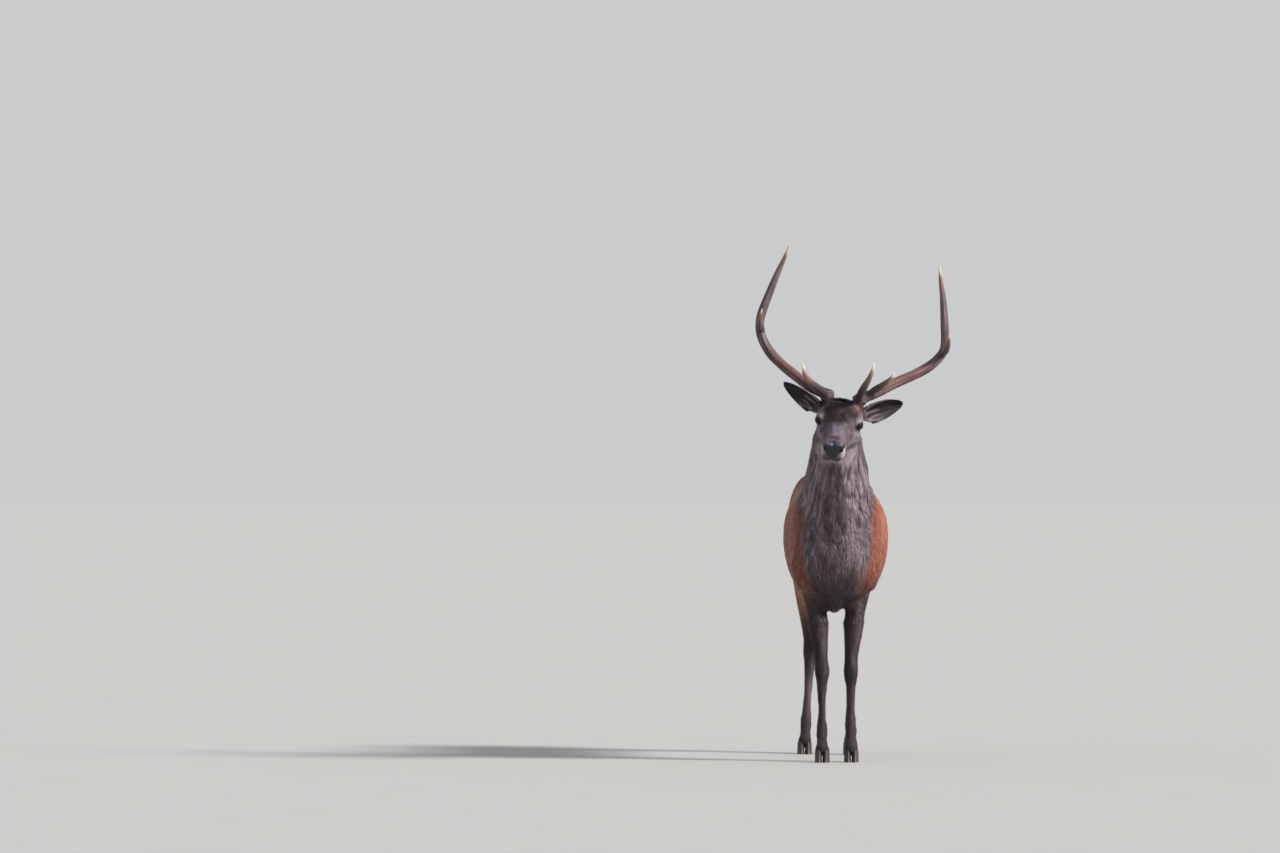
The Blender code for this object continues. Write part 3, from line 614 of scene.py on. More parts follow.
def body():
    """Trunk, neck, legs and tail as one, the belly drawn up and the breast beside its keel."""
    neck_rows = [(0.0, *row) for row in NECK]
    pieces = [upright_loft("trunk", TRUNK), limb("neck", neck_rows, sides=48)]
    for name, side in SIDES.items():
        pieces.append(limb("foreleg", leg_rows(FORELEG, FORE_STANCE[name], side)))
        pieces.append(limb("hindleg", leg_rows(HINDLEG, HIND_STANCE[name], side)))
        pieces += [mass("muscle", *row, side) for row in BODY_MASSES]
        x, y, z = leg_rows((HOCK_POINT,), HIND_STANCE[name], side)[0][:3]
        pieces.append(mass("hock", (abs(x), y, z), (0.014, 0.017, 0.030), -14, side))
    pieces.append(limb("tail", [(0.0, *row) for row in TAIL], sides=20))
    whole = fuse(joined("body", pieces), BODY_VOXEL, BODY_SMOOTHING)
    p = points_of(whole)
    x, y, z = p.T.copy()
    belly = BELLY_RISE * ramp(y, -0.26, -0.12) * ramp(y, 0.34, 0.16) * ramp(z, 0.76, 0.60)
    belly = belly * ramp(np.abs(x), 0.20, 0.12)
    beside_keel = ramp(np.abs(x + 0.006), 0.006, 0.050) * ramp(y, -0.52, -0.44) * ramp(y, 0.10, -0.12)
    z_new = z + (belly + KEEL_RISE * beside_keel * ramp(z, 0.70, 0.60)) * ramp(z, 0.50, 0.585)
    x_new = x + BARREL_BOW * np.exp(-((y - 0.02) ** 2) / 0.08) * np.clip((z_new - 0.5) / 0.2, 0, 1)
    set_points(whole, np.stack([x_new, y, z_new], 1))
    return whole


def lid_opening(side):
    """A plug the shape of the gap between the lids: pointed at the corners, wider outside than in."""
    sides = 40
    turn = np.arange(sides) * 2 * math.pi / sides
    c, s = np.cos(turn), np.sin(turn)
    rings = []
    for out, reach in LID_CUT:
        rise = np.where(s > 0, reach * LID_RISE, reach * LID_DROP) * np.sign(s) * np.abs(s) ** LID_CURVE
        rings.append(np.stack([reach * c, rise, np.full(sides, out)], axis=1))
    return place(loft("opening", rings), eye_axes(side))


def nostril(side):
    """Cutters for one nostril: the passage, and the comma-shaped slit up round the nose's wing."""
    rows = (
        (0.041, -0.252, -0.029, 0.0082),
        (0.034, -0.238, -0.030, 0.0080),
        (0.026, -0.222, -0.031, 0.0066),
        (0.018, -0.206, -0.028, 0.0040),
    )
    slit = (
        (0.027, -0.252, -0.040, 0.0040),
        (0.036, -0.247, -0.036, 0.0062),
        (0.043, -0.240, -0.027, 0.0074),
        (0.0465, -0.228, -0.019, 0.0056),
        (0.0475, -0.214, -0.013, 0.0034),
        (0.046, -0.202, -0.010, 0.0016),
    )
    pieces = [rod("nostril", rows, sides=20), rod("slit", slit, sides=12)]
    return [place(piece, HEAD_AXES @ side_matrix(side)) for piece in pieces]


def ear(side_name):
    """A leaf-shaped cup, thin-walled, its hollow turned forward."""
    steps, across = 34, 20
    layers = []
    for outer in (True, False):
        for i in range(steps + 1):
            t = i / steps
            width = EAR_WIDTH / 2 * (math.sin(math.pi * min(1.0, 0.16 + 0.84 * t) ** 0.86)) ** 0.62 + 0.0020
            width *= 0.62 + 0.38 * min(1.0, t / 0.20) ** 0.8
            cup = EAR_CUP * (1 - t) ** 0.7 + EAR_TIP_CUP
            wall = EAR_WALL * (1 - 0.45 * t)
            for j in range(across + 1):
                u = 2 * j / across - 1
                bow = cup * (u * u - 0.5) + EAR_TIP_CURL * t * t
                fold = 0.0012 * math.sin(9 * u + 2 * t) * (1 - abs(u)) * (0 if outer else 1)
                rim = 0.5 * wall * abs(u) ** 8
                depth = wall - 0.0012 - rim if outer else 0.0010 + fold + rim
                layers.append((t * EAR_LENGTH * 0.985, -bow + depth, u * width))
    wide, half = across + 1, (steps + 1) * (across + 1)
    faces = []
    for i in range(steps):
        for j in range(across):
            a, b, c, d = (i * wide + j, i * wide + j + 1, (i + 1) * wide + j + 1, (i + 1) * wide + j)
            faces += [(a, b, c, d), (half + d, half + c, half + b, half + a)]
    rim = [i * wide for i in range(steps + 1)] + [steps * wide + j for j in range(1, wide)]
    rim += [i * wide + across for i in range(steps - 1, -1, -1)] + list(range(across - 1, 0, -1))
    for k, a in enumerate(rim):
        b = rim[(k + 1) % len(rim)]
        faces.append((a, half + a, half + b, b))
    return place(face_outwards(mesh_object("ear", layers, faces), triangles=True), ear_axes(side_name))


def head():
    """The head with lids, eye openings and nostrils, fused fine enough to hold them."""
    pieces = [upright_loft("skull", HEAD)]
    for side in SIDES.values():
        pieces += [mass("feature", *row, side) for row in HEAD_MASSES]
    whole = fuse(joined("head", [place(piece, HEAD_AXES) for piece in pieces]), HEAD_VOXEL, HEAD_SMOOTHING)
    lids = []
    for side in SIDES.values():
        size = EYE_RADIUS + LID_THICKNESS
        sizes = Matrix.Diagonal((size * 1.12, size * 0.98, size * 0.97, 1))
        lids.append(ball("lids", eye_axes(side) @ sizes))
    whole = fuse(joined("head", [whole, *lids]), HEAD_VOXEL, 3)
    for side in SIDES.values():
        for cutter in (lid_opening(side), *nostril(side)):
            boolean(whole, cutter, "DIFFERENCE")
    return fuse(whole, HEAD_VOXEL, 2)


def refine(obj, inside):
    """Halves the edges of the faces for which inside is true."""
    shape = bmesh.new()
    shape.from_mesh(obj.data)
    shape.verts.ensure_lookup_table()
    edges = [e for e in shape.edges if inside[e.verts[0].index] and inside[e.verts[1].index]]
    bmesh.ops.subdivide_edges(shape, edges=edges, cuts=1, use_grid_fill=True, smooth=0.6)
    bmesh.ops.triangulate(shape, faces=[f for f in shape.faces if len(f.verts) > 4])
    shape.to_mesh(obj.data)
    shape.free()
    return obj


# ---- folds, bones and muscles under the skin -----------------------------------------------------
MOUTH = ((0.000, -0.240, -0.071), (0.028, -0.230, -0.074), (0.043, -0.208, -0.073))
# In the head's axes, on both sides: centre, sizes, height (+ out, - in).
HEAD_SWELLS = (
    ((0.056, -0.060, -0.004), (0.030, 0.038, 0.024), -0.0040),  # hollow before the eye
    ((0.080, 0.042, 0.034), (0.020, 0.026, 0.020), -0.0030),  # temple
    ((0.060, -0.035, -0.078), (0.030, 0.050, 0.022), -0.0030),  # between cheek muscle and jawbone
    ((0.040, -0.100, 0.012), (0.022, 0.060, 0.020), -0.0025),  # beside the bridge of the nose
    ((0.000, -0.010, 0.056), (0.028, 0.050, 0.034), -0.0035),  # hollow of the forehead
    ((0.080, -0.040, -0.004), (0.024, 0.030, 0.026), -0.0070),  # way forward of the eye
    ((0.086, 0.012, 0.036), (0.030, 0.040, 0.022), -0.0050),  # outer brow
    ((0.020, -0.210, -0.088), (0.022, 0.020, 0.012), 0.0016),  # lower lip
    ((0.046, -0.212, -0.056), (0.014, 0.026, 0.018), 0.0024),  # upper lip beside the nose
    ((0.028, -0.238, -0.010), (0.018, 0.026, 0.016), 0.0052),  # wing of the nostril
    ((0.024, -0.246, -0.050), (0.014, 0.020, 0.012), 0.0022),  # its lower rim
    ((0.000, -0.240, -0.014), (0.013, 0.028, 0.026), -0.0048),  # hollow between the wings
    ((0.060, 0.084, 0.070), (0.030, 0.030, 0.026), 0.0020),  # foot of the antler
)
# Path, width, height.
HEAD_FOLDS = (
    # crest of the cheek
    (((0.074, -0.014, -0.040), (0.062, -0.060, -0.046), (0.053, -0.105, -0.046)), 0.016, 0.0026),
    # banks of the tear slit, and the slit
    (((0.076, -0.032, -0.008), (0.066, -0.048, -0.017), (0.059, -0.064, -0.026)), 0.017, 0.0014),
    (((0.075, -0.034, -0.009), (0.066, -0.048, -0.017), (0.060, -0.062, -0.025)), 0.006, -0.0050),
    # mouth, on along the cheek, and the fold at its corner
    (MOUTH, 0.0060, -0.0048),
    (((0.043, -0.208, -0.073), (0.048, -0.170, -0.068), (0.050, -0.138, -0.058)), 0.0050, -0.0036),
    (((0.050, -0.146, -0.066), (0.053, -0.128, -0.054), (0.052, -0.118, -0.040)), 0.010, 0.0015),
    # rim of the nostril
    (((0.044, -0.224, -0.042), (0.051, -0.217, -0.030), (0.049, -0.206, -0.014)), 0.010, 0.0018),
    # furrow of the nose
    (((0.000, -0.252, -0.020), (0.000, -0.244, -0.068)), 0.0040, -0.0030),
    # parting of the brows
    (((0.000, 0.060, 0.080), (0.000, 0.000, 0.062), (0.000, -0.040, 0.042)), 0.014, -0.0016),
)
# Arcs over and under the lids in the eye's axes: reach back, reach up, from and to which turn, width, height.
LID_FOLDS = (
    (0.0215, 0.0170, 15, 165, 0.0050, -0.0022),
    (0.0205, 0.0150, 195, 345, 0.0045, -0.0016),
    (0.0280, 0.0235, 30, 150, 0.0080, 0.0018),
    (0.0260, 0.0220, 200, 330, 0.0080, 0.0010),
)
BODY_SWELLS = (
    ((0.175, 0.200, 0.985), (0.090, 0.085, 0.100), -0.0100),  # hollow of the flank
    ((0.118, 0.295, 1.100), (0.045, 0.055, 0.045), 0.0040),  # point of the hip
    ((0.110, -0.470, 0.900), (0.050, 0.060, 0.060), 0.0040),  # point of the shoulder
    ((0.100, 0.560, 0.900), (0.040, 0.050, 0.050), 0.0030),  # pin bone
    ((0.054, -0.320, 0.598), (0.036, 0.170, 0.040), -0.0160),  # beside the keel of the breastbone
    ((0.058, -0.520, 0.745), (0.046, 0.060, 0.060), 0.0070),  # breast muscle
)
BODY_FOLDS = (
    # behind the shoulder
    (((0.185, -0.205, 1.06), (0.200, -0.225, 0.88), (0.185, -0.245, 0.70)), 0.060, -0.0065),
    # spine of the shoulder blade
    (((0.150, -0.290, 1.08), (0.160, -0.390, 0.86)), 0.030, 0.0030),
    # fold of the stifle
    (((0.175, 0.255, 0.90), (0.160, 0.225, 0.76)), 0.060, -0.0060),
    # between the hams
    (((0.130, 0.500, 0.93), (0.105, 0.470, 0.76), (0.085, 0.440, 0.66)), 0.030, -0.0040),
    # furrow of the breast
    (((0.000, -0.620, 1.05), (0.000, -0.580, 0.88), (0.000, -0.500, 0.66)), 0.050, -0.0060),
    # under the breast muscle
    (((0.006, -0.450, 0.630), (0.050, -0.485, 0.680), (0.100, -0.470, 0.745)), 0.034, -0.0080),
)
# Grooves beside a leg's tendons: its table and stances, up to what height, and how far behind the leg's line.
TENDONS = ((FORELEG, FORE_STANCE, 0.320, 0.006), (HINDLEG, HIND_STANCE, 0.355, 0.008))
TENDON_DEPTH = 0.0026
LID_SPHERE = 0.0225  # radius of the ball that the lids' arcs lie on
RIB_SPACING = 0.046


def mirrored(places, side):
    return [(p[0] * side, *p[1:]) for p in places]


def eye_distance(h):
    """Distance from the nearer eye's centre, for points in the head's axes."""
    return np.linalg.norm(np.abs(h) * [1, 0, 0] + h * [0, 1, 1] - np.array(EYE_CENTRE), axis=1)


def lid_reach(h):
    """Distance from the middle of the nearer eye's opening, 1 at its edge, for points in the head's axes."""
    e = through((HEAD_AXES.inverted() @ eye_axes(LEFT)).inverted(), np.abs(h) * [1, 0, 0] + h * [0, 1, 1])
    rise = OPENING_REACH * np.where(e[:, 1] > 0, LID_RISE, LID_DROP)
    return np.where(e[:, 2] > 0, np.hypot(e[:, 0] / OPENING_REACH, e[:, 1] / rise), 9.0)


def swells_and_folds(p, swells, folds, side):
    """How far they raise each point on one side. What lies on the mid-line counts half, as it comes twice."""
    found = np.zeros(len(p))
    for centre, sizes, rise in swells:
        share = 0.5 if centre[0] == 0 else 1.0
        found += share * rise * egg(p, mirrored([centre], side)[0], sizes, core=0.1)
    for path, width, rise in folds:
        share = 0.5 if all(q[0] == 0 for q in path) else 1.0
        found += share * rise * groove(p, mirrored(path, side), width)
    return found


def head_relief(p):
    """How far the head's folds stand out or in."""
    height = np.zeros(len(p))
    near = np.flatnonzero(beyond(p, THROAT) > -0.05)
    h = in_head(p)[near]
    found = np.zeros(len(h))
    for side in SIDES.values():
        found += swells_and_folds(h, HEAD_SWELLS, HEAD_FOLDS, side)
        e = through(eye_axes(side).inverted(), p[near])
        for back, up, start, stop, width, rise in LID_FOLDS:
            turn = np.radians(np.linspace(start, stop, 12))
            x, y = back * np.cos(turn), up * np.sin(turn)
            z = np.sqrt(np.maximum(LID_SPHERE**2 - x * x - y * y, 0.008**2)) - 0.002
            found += rise * groove(e, np.stack([x, y, z], 1), width)
    pad = nose_pad(h)
    found += 0.0010 * pad - 0.0016 * np.exp(-(((pad - 0.35) / 0.22) ** 2))
    height[near] = found
    return height


NOSE_MIDDLE, NOSE_HALF_HEIGHT, NOSE_HALF_WIDTH, NOSE_TAPER = -0.0315, 0.0350, 0.0370, 0.85
NOSE_WING = ((0.036, -0.244, -0.022), (0.0435, -0.230, -0.013), (0.0450, -0.216, -0.007))


def nose_pad(h):
    """1 on the nose's bare pad, for points in the head's axes: broad above, narrow below, with wings."""
    rise = (h[:, 2] - NOSE_MIDDLE) / NOSE_HALF_HEIGHT
    taper = 1 + NOSE_TAPER * np.clip(-rise, 0, 1) ** 0.9
    front = ((h[:, 0] * taper / NOSE_HALF_WIDTH) ** 2) ** 1.4 + (rise**2) ** np.where(rise > 0, 1.8, 1.2)
    bow = 0.008 * (h[:, 0] / 0.04) ** 2
    pad = (1 - ramp(front, 0.86, 1.14)) * ramp(h[:, 1], -0.210 - bow, -0.220 - bow)
    return np.maximum(pad, both(lambda side: ramp(groove(h, mirrored(NOSE_WING, side), 0.026), 0.30, 0.65)))


def body_relief(p):
    """How far the trunk's and the legs' folds, tendons and ribs stand out or in."""
    height = np.zeros(len(p))
    for name, side in SIDES.items():
        height += swells_and_folds(p, BODY_SWELLS, BODY_FOLDS, side)
        for table, stances, top, back in TENDONS:
            path = np.array([row[:3] for row in leg_rows(table, stances[name], side) if 0.14 < row[2] < top])
            for out in (-0.020, 0.020):
                height -= TENDON_DEPTH * groove(p, path + [out, back, 0], 0.012)
    ribs = np.sin(p[:, 1] * 2 * math.pi / RIB_SPACING + 2.2 * p[:, 2])
    side_on = both(lambda side: egg(p, (0.20 * side, -0.02, 0.90), (0.10, 0.22, 0.22)))
    return height + 0.0012 * ribs * side_on


TRUNK_DEPTH, NECK_DEPTH, LEG_DEPTH = 0.0046, 0.015, 0.0034  # the face has the legs' short coat
BREAST_EXTRA, POLL_EXTRA, MUZZLE_LESS = 0.0040, 0.008, 0.0024  # than on the trunk and the face


def coat_depth(p):
    """How deep the coat lies on the skin."""
    h = in_head(p)
    headward = ramp(beyond(p, THROAT), -0.13, 0.03)
    neckward = ramp(beyond(p, SHOULDER), -0.16, 0.02)
    low = ramp(p[:, 2], 0.72, 0.46)
    trunk = TRUNK_DEPTH + BREAST_EXTRA * ramp(p[:, 1], -0.30, -0.44)
    depth = trunk + (NECK_DEPTH - trunk) * neckward
    depth = depth + (LEG_DEPTH - depth) * low
    face = LEG_DEPTH - MUZZLE_LESS * ramp(h[:, 1], -0.02, -0.20)
    face = face + POLL_EXTRA * egg(h, (0, 0.09, 0.085), (0.06, 0.06, 0.05))
    face = face * ramp(eye_distance(h), 0.021, 0.030) * (1 - nose_pad(h))
    return depth + (face - depth) * headward


def ear_share(p, side_name):
    """1 on an ear, 0 off it, and the points in the ear's own axes."""
    e = through(ear_axes(side_name).inverted(), p)
    inside = (e[:, 0] > 0.018) & (e[:, 0] < 0.20) & (np.abs(e[:, 2]) < 0.060) & (np.abs(e[:, 1]) < 0.042)
    return inside * ramp(e[:, 0], 0.018, 0.034), e


def ears_share(p):
    """1 on either ear."""
    return np.maximum(*(ear_share(p, name)[0] for name in SIDES))


PEBBLE_SIZE, PEBBLE_HEIGHT = 0.0036, 0.00035  # the grain of the nose's bare leather


def make_skin():
    """The one skin, with its folds, lying inside the coat."""
    whole = body()
    boolean(whole, head(), "UNION")
    for name in SIDES:
        boolean(whole, ear(name), "UNION")
    h = in_head(points_of(whole))
    refine(whole, (eye_distance(h) < 0.031) | (h[:, 1] < -0.196))
    p, n = points_of(whole), normals_of(whole)
    off_ears = 1 - ears_share(p)
    legs = LEG_FILLING * ramp(p[:, 2], 0.62, 0.50)
    set_points(whole, p - n * (coat_depth(p) * off_ears - legs)[:, None])
    seam = whole.vertex_groups.new(name="seam")
    p = points_of(whole)
    h = in_head(p)
    join = 0.9 * ramp(np.abs(beyond(p, THROAT)), 0.075, 0.045) * ramp(h[:, 1], 0.02, 0.05) * off_ears
    for name in SIDES:
        e = through(ear_axes(name).inverted(), p)
        root = ramp(e[:, 0], 0.042, 0.026) * ramp(e[:, 0], -0.024, -0.010)
        join = np.maximum(join, 0.85 * (root * ramp(np.hypot(e[:, 1], e[:, 2]), 0.062, 0.050)))
    for i in np.flatnonzero(join > 0.02):
        seam.add([int(i)], float(join[i]), "REPLACE")
    soften(whole, 24, group="seam")
    p, n = points_of(whole), normals_of(whole)
    relief = (head_relief(p) + body_relief(p)) * (1 - ears_share(p))
    pebbles = wobble(p, waves(41, PEBBLE_SIZE, 20)) * nose_pad(in_head(p))
    set_points(whole, p + n * (relief + PEBBLE_HEIGHT * pebbles)[:, None])
    whole.vertex_groups.clear()
    whole.name = whole.data.name = "skin"
    return whole


# ---- markings ------------------------------------------------------------------------------------
RUFOUS, SADDLE, FLANK_LIGHT, BELLY, CREAM = "884D3C", "56332B", "A06A57", "B4A498", "BFA98E"
NECK_GREY, MANE_DARK, MANE_LIGHT, NAPE, SHOULDER_BROWN = "625259", "2A2123", "A8989F", "49393C", "785A58"
BRISKET, TAIL_RED = "382A2D", "7A4836"
LEG_BROWN, LEG_DARK, LEG_LIGHT = "403137", "231B1E", "6C5A61"
FACE_GREY, FOREHEAD, CROWN, CROWN_RED = "5F5159", "1F1619", "33272A", "7B5248"
BRIDGE_HIGHLIGHT, BROW_LIGHT, CHEEK_LIGHT, MUZZLE_PALE, CHIN_PALE = "74667A", "A394A2", "95868D", "C6B8BF", "90847A"
# The nose's highlight colour is painted light on its wet leather.
LIP_DARK, LID_BLACK, NOSE_BLACK, NOSE_HIGHLIGHT = "251D20", "120E10", "18151F", "48425A"
EAR_BACK_GREY, EAR_HOLLOW, EAR_EDGE = "56474D", "2D2427", "B4A5B2"
HORN_BLACK, HORN_GREY, FLOOR_GREY = "231C1D", "38302F", "A7A8A8"


def linear(colour):
    """A linear colour from its sRGB hex digits."""
    c = np.array([int(colour[i : i + 2], 16) / 255 for i in (0, 2, 4)])
    return np.where(c <= 0.04045, c / 12.92, ((c + 0.055) / 1.055) ** 2.4)


def painted(colour, name, share):
    """The colours with that share of the named one over them."""
    return colour + (linear(name) - colour) * np.clip(share, 0, 1)[:, None]


# Which way the markings' streaks and the clumps of hair run.
NECK_GRAIN = (0.0, 0.593, -0.805)
TRUNK_GRAIN = (0.0, 1.0, -0.3)


def neck_front(p):
    """A y that also falls with the height, so it is low both in front and up the neck."""
    return p[:, 1] - 0.743 * (p[:, 2] - 1.07)


def marked(p):
    """The markings of skin and coat, with some painted light and shade: a linear colour for each point."""
    x, y, z = p.T
    h = in_head(p)
    colour = np.tile(linear(RUFOUS), (len(p), 1))

    def paint(name, share):
        nonlocal colour
        colour = painted(colour, name, share)

    def two(centre, sizes, core=0.35):
        """A region of the head, on both sides."""
        return both(lambda side: egg(h, (centre[0] * side, *centre[1:]), sizes, core))

    def patch(name, share, *region):
        """Paints the head in a region on both sides."""
        paint(name, headward * share * two(*region))

    def spot(name, share, *region):
        """Paints the head in one region only."""
        paint(name, headward * share * egg(h, *region))

    headward = ramp(beyond(p, THROAT), -0.035, 0.015)
    neckward = ramp(beyond(p, SHOULDER) - 0.8 * np.maximum(np.abs(x) - 0.105, 0), -0.06, 0.03)
    drift = wobble(p, waves(3, 0.16))
    # trunk
    paint(SADDLE, 0.35 * ramp(drift, 0.2, 1.4))
    paint(FLANK_LIGHT, 0.35 * ramp(-drift, 0.2, 1.4))
    locks = wobble(p, waves(15, 0.022, 20, grain=TRUNK_GRAIN, squeeze=0.92))
    paint(SADDLE, 0.35 * ramp(locks, 0.1, 1.3))
    paint(FLANK_LIGHT, 0.30 * ramp(-locks, 0.1, 1.3))
    paint(SADDLE, 0.75 * ramp(z, 1.03, 1.14))
    paint(FLANK_LIGHT, 0.65 * ramp(z + 0.02 * drift, 0.78, 0.67) * ramp(y, 0.34, 0.22))
    paint(BELLY, ramp(z + 0.015 * drift, 0.685, 0.625) * ramp(y, -0.30, -0.18) * ramp(y, 0.30, 0.18))
    rump = egg(p + 0.010 * drift[:, None], (0, 0.585, 0.92), (0.120, 0.090, 0.195), 0.40)
    paint(CREAM, rump)
    between = ramp(np.abs(x), 0.060, 0.025) * ramp(y, 0.36, 0.44)
    paint(BELLY, 0.7 * between * ramp(z, 0.86, 0.76) * ramp(z, 0.56, 0.66))
    tail = egg(p, (0, 0.612, 0.94), (0.055, 0.050, 0.150), 0.7)
    paint(TAIL_RED, 0.9 * tail * ramp(y, 0.598, 0.614))
    # forehand
    edge = y + 2.2 * (np.abs(x) - 0.050 - 0.040 * ramp(z, 0.70, 0.98)) + 0.016 * wobble(p, waves(5, 0.07))
    grey = np.maximum(ramp(edge, -0.330, -0.410), neckward)
    paint(SHOULDER_BROWN, 0.9 * grey)
    front = ramp(edge + 0.03 * drift, -0.375, -0.455)
    paint(NECK_GREY, np.maximum(front, neckward))
    streaks = wobble(p, waves(7, 0.012, 26, grain=NECK_GRAIN, squeeze=0.97))
    hanging = wobble(p, waves(16, 0.013, 26, grain=(0, 0.25, -1), squeeze=0.985))
    streaks = 0.8 * hanging + (streaks - 0.8 * hanging) * neckward
    broad = wobble(p, waves(8, 0.050, grain=(0, 0.1, -1), squeeze=0.93))
    mane = np.maximum(front * ramp(z, 0.60, 0.72), neckward)
    paint(MANE_DARK, mane * (0.50 * ramp(streaks, 0.0, 1.2) + 0.18 * ramp(broad, 0.0, 1.2)))
    paint(MANE_LIGHT, mane * (0.50 * ramp(-streaks, 0.1, 1.2) + 0.18 * ramp(-broad, 0.1, 1.2)))
    throatward = neckward * ramp(neck_front(p), -0.44, -0.52)
    paint(MANE_LIGHT, 0.45 * throatward * ramp(np.abs(x), 0.030, 0.070) * ramp(streaks, 0.9, -0.5))
    # A dark band runs down the front of the neck and breast, set to the stag's right: partly the mane's dark
    # middle, partly painted shade on the side away from the lamp.
    centre = np.exp(-(((x + 0.018 + 0.010 * broad) / 0.030) ** 2)) * (y < -0.40)
    paint(MANE_DARK, 0.55 * centre * ramp(z, 0.66, 0.80))
    paint(NAPE, 0.85 * neckward * ramp(np.abs(x), 0.070, 0.020) * ramp(neck_front(p), -0.42, -0.33))
    paint(BRISKET, 0.85 * ramp(z + 0.02 * drift, 0.84, 0.70) * ramp(edge, -0.34, -0.44))
    # legs
    fore = ramp(y, -0.22, -0.28)
    top = 0.64 + 0.17 * ramp(y, -0.27, -0.37)
    leg = ramp(z + 0.02 * drift, top, top - 0.17)
    paint(LEG_BROWN, leg)
    paint(LEG_DARK, 0.45 * leg * ramp(wobble(p, waves(9, 0.05, grain=(0, 0, 1), squeeze=0.8)), 0.0, 1.2))
    knee, fetlock = np.exp(-(((z - 0.365) / 0.045) ** 2)), np.exp(-(((z - 0.115) / 0.035) ** 2))
    paint(LEG_DARK, 0.65 * np.maximum(knee * fore, 0.6 * fetlock) * leg)
    cannon = np.exp(-(((z - 0.25) / 0.075) ** 2)) * (1 - fore)
    paint(LEG_LIGHT, 0.65 * leg * cannon)
    paint(LEG_DARK, ramp(z, 0.075, 0.050))
    # head
    paint(FACE_GREY, headward)
    paint(CHEEK_LIGHT, 0.8 * headward * ramp(h[:, 2], -0.060, -0.095) * ramp(h[:, 1], 0.06, -0.02))
    # The cheeks below the eyes are paler: partly the hair's own tone, partly painted light on the side of the
    # face.
    patch(CHEEK_LIGHT, 0.9, (0.070, -0.020, -0.048), (0.042, 0.100, 0.040))
    # The throat under the jaw is paler: partly pale hair, partly painted light where the head's shadow falls
    # on it.
    patch(MANE_LIGHT, 0.7, (0.042, -0.020, -0.110), (0.040, 0.100, 0.040))
    throat = two((0.040, 0.010, -0.125), (0.045, 0.120, 0.060))
    paint(MUZZLE_PALE, 0.55 * ramp(beyond(p, THROAT), -0.11, -0.02) * throat)
    patch(FACE_GREY, 0.5, (0.055, 0.070, -0.050), (0.050, 0.050, 0.050))
    # Painted highlight: the bridge of the nose is paler where its top faces the light.
    spot(BRIDGE_HIGHLIGHT, 0.9, (0, -0.115, 0.020), (0.048, 0.120, 0.040), 0.15)
    ragged = wobble(h, waves(11, 0.020, 20, grain=(0, 1, 0), squeeze=0.6))
    mottle = wobble(h, waves(12, 0.030, 20))
    paint(FOREHEAD, headward * 0.30 * ramp(mottle, 0.1, 1.2) * ramp(h[:, 1], -0.19, -0.13))
    paint(CHEEK_LIGHT, headward * 0.30 * ramp(-mottle, 0.2, 1.3))
    brow = egg(h, (0, -0.020, 0.062), (0.086, 0.120, 0.068), 0.58)
    paint(FOREHEAD, headward * 0.94 * brow * ramp(ragged + 2.2 * brow, -0.6, 0.9))
    # Painted shade: a dark band runs from each eye's inner corner down beside the bridge of the nose, where
    # the face's sides turn from the light.
    inner = ((0.052, 0.000, 0.048), (0.042, -0.050, 0.026), (0.036, -0.120, 0.008))
    shade_beside_bridge = both(lambda side: groove(h, mirrored(inner, side), 0.032)) * ramp(h[:, 1], -0.15, -0.05)
    paint(FOREHEAD, headward * 0.70 * shade_beside_bridge)
    paint(CROWN, headward * ramp(h[:, 1] + 0.012 * ragged, 0.020, 0.055) * ramp(h[:, 2], 0.03, 0.06))
    spot(CROWN_RED, 0.85, (0.060, 0.062, 0.066), (0.030, 0.044, 0.044), 0.4)
    spot(CROWN_RED, 0.60 * ramp(ragged, -0.6, 0.9), (-0.008, -0.008, 0.060), (0.044, 0.036, 0.036), 0.2)
    patch(BROW_LIGHT, 0.55, (0.080, -0.014, 0.026), (0.030, 0.044, 0.020), 0.1)
    patch(BROW_LIGHT, 0.62, (0.078, -0.030, -0.024), (0.030, 0.040, 0.020), 0.1)
    slit = ((0.080, -0.024, -0.003), (0.068, -0.046, -0.016), (0.058, -0.066, -0.028))
    tear = both(lambda side: groove(h, mirrored(slit, side), 0.009))
    paint(LIP_DARK, headward * 0.85 * np.maximum(tear, 0.75 * ramp(eye_distance(h), 0.0250, 0.0215)))
    paint(LID_BLACK, headward * ramp(lid_reach(h), 1.75, 1.35))
    patch(MUZZLE_PALE, 0.9, (0.046, -0.218, -0.044), (0.022, 0.050, 0.040), 0.2)
    spot(LIP_DARK, 0.7, (0, -0.196, 0.006), (0.034, 0.026, 0.020), 0.4)
    chinward = ramp(h[:, 1], -0.120, -0.165)
    paint(CHIN_PALE, headward * 0.75 * ramp(h[:, 2] + 0.003 * ragged, -0.070, -0.082) * chinward)
    # Painted shade: the underside of the chin is darker.
    paint(LIP_DARK, headward * 0.55 * ramp(h[:, 2], -0.086, -0.096) * chinward)
    paint(LIP_DARK, headward * 0.9 * both(lambda side: groove(h, mirrored(MOUTH, side), 0.012)))
    patch(LIP_DARK, 0.75, (0.050, -0.166, -0.074), (0.014, 0.026, 0.012))
    pad = nose_pad(h)
    paint(NOSE_BLACK, headward * ramp(pad, 0.20, 0.55))
    # Painted highlights: the nose pad is paler along its upper edge and on the lower rims of the nostrils,
    # where light catches the wet leather.
    patch(NOSE_HIGHLIGHT, 0.80 * pad, (0.022, -0.232, 0.000), (0.026, 0.034, 0.018), 0.3)
    patch(NOSE_HIGHLIGHT, 0.70 * pad, (0.026, -0.246, -0.050), (0.012, 0.024, 0.010), 0.3)
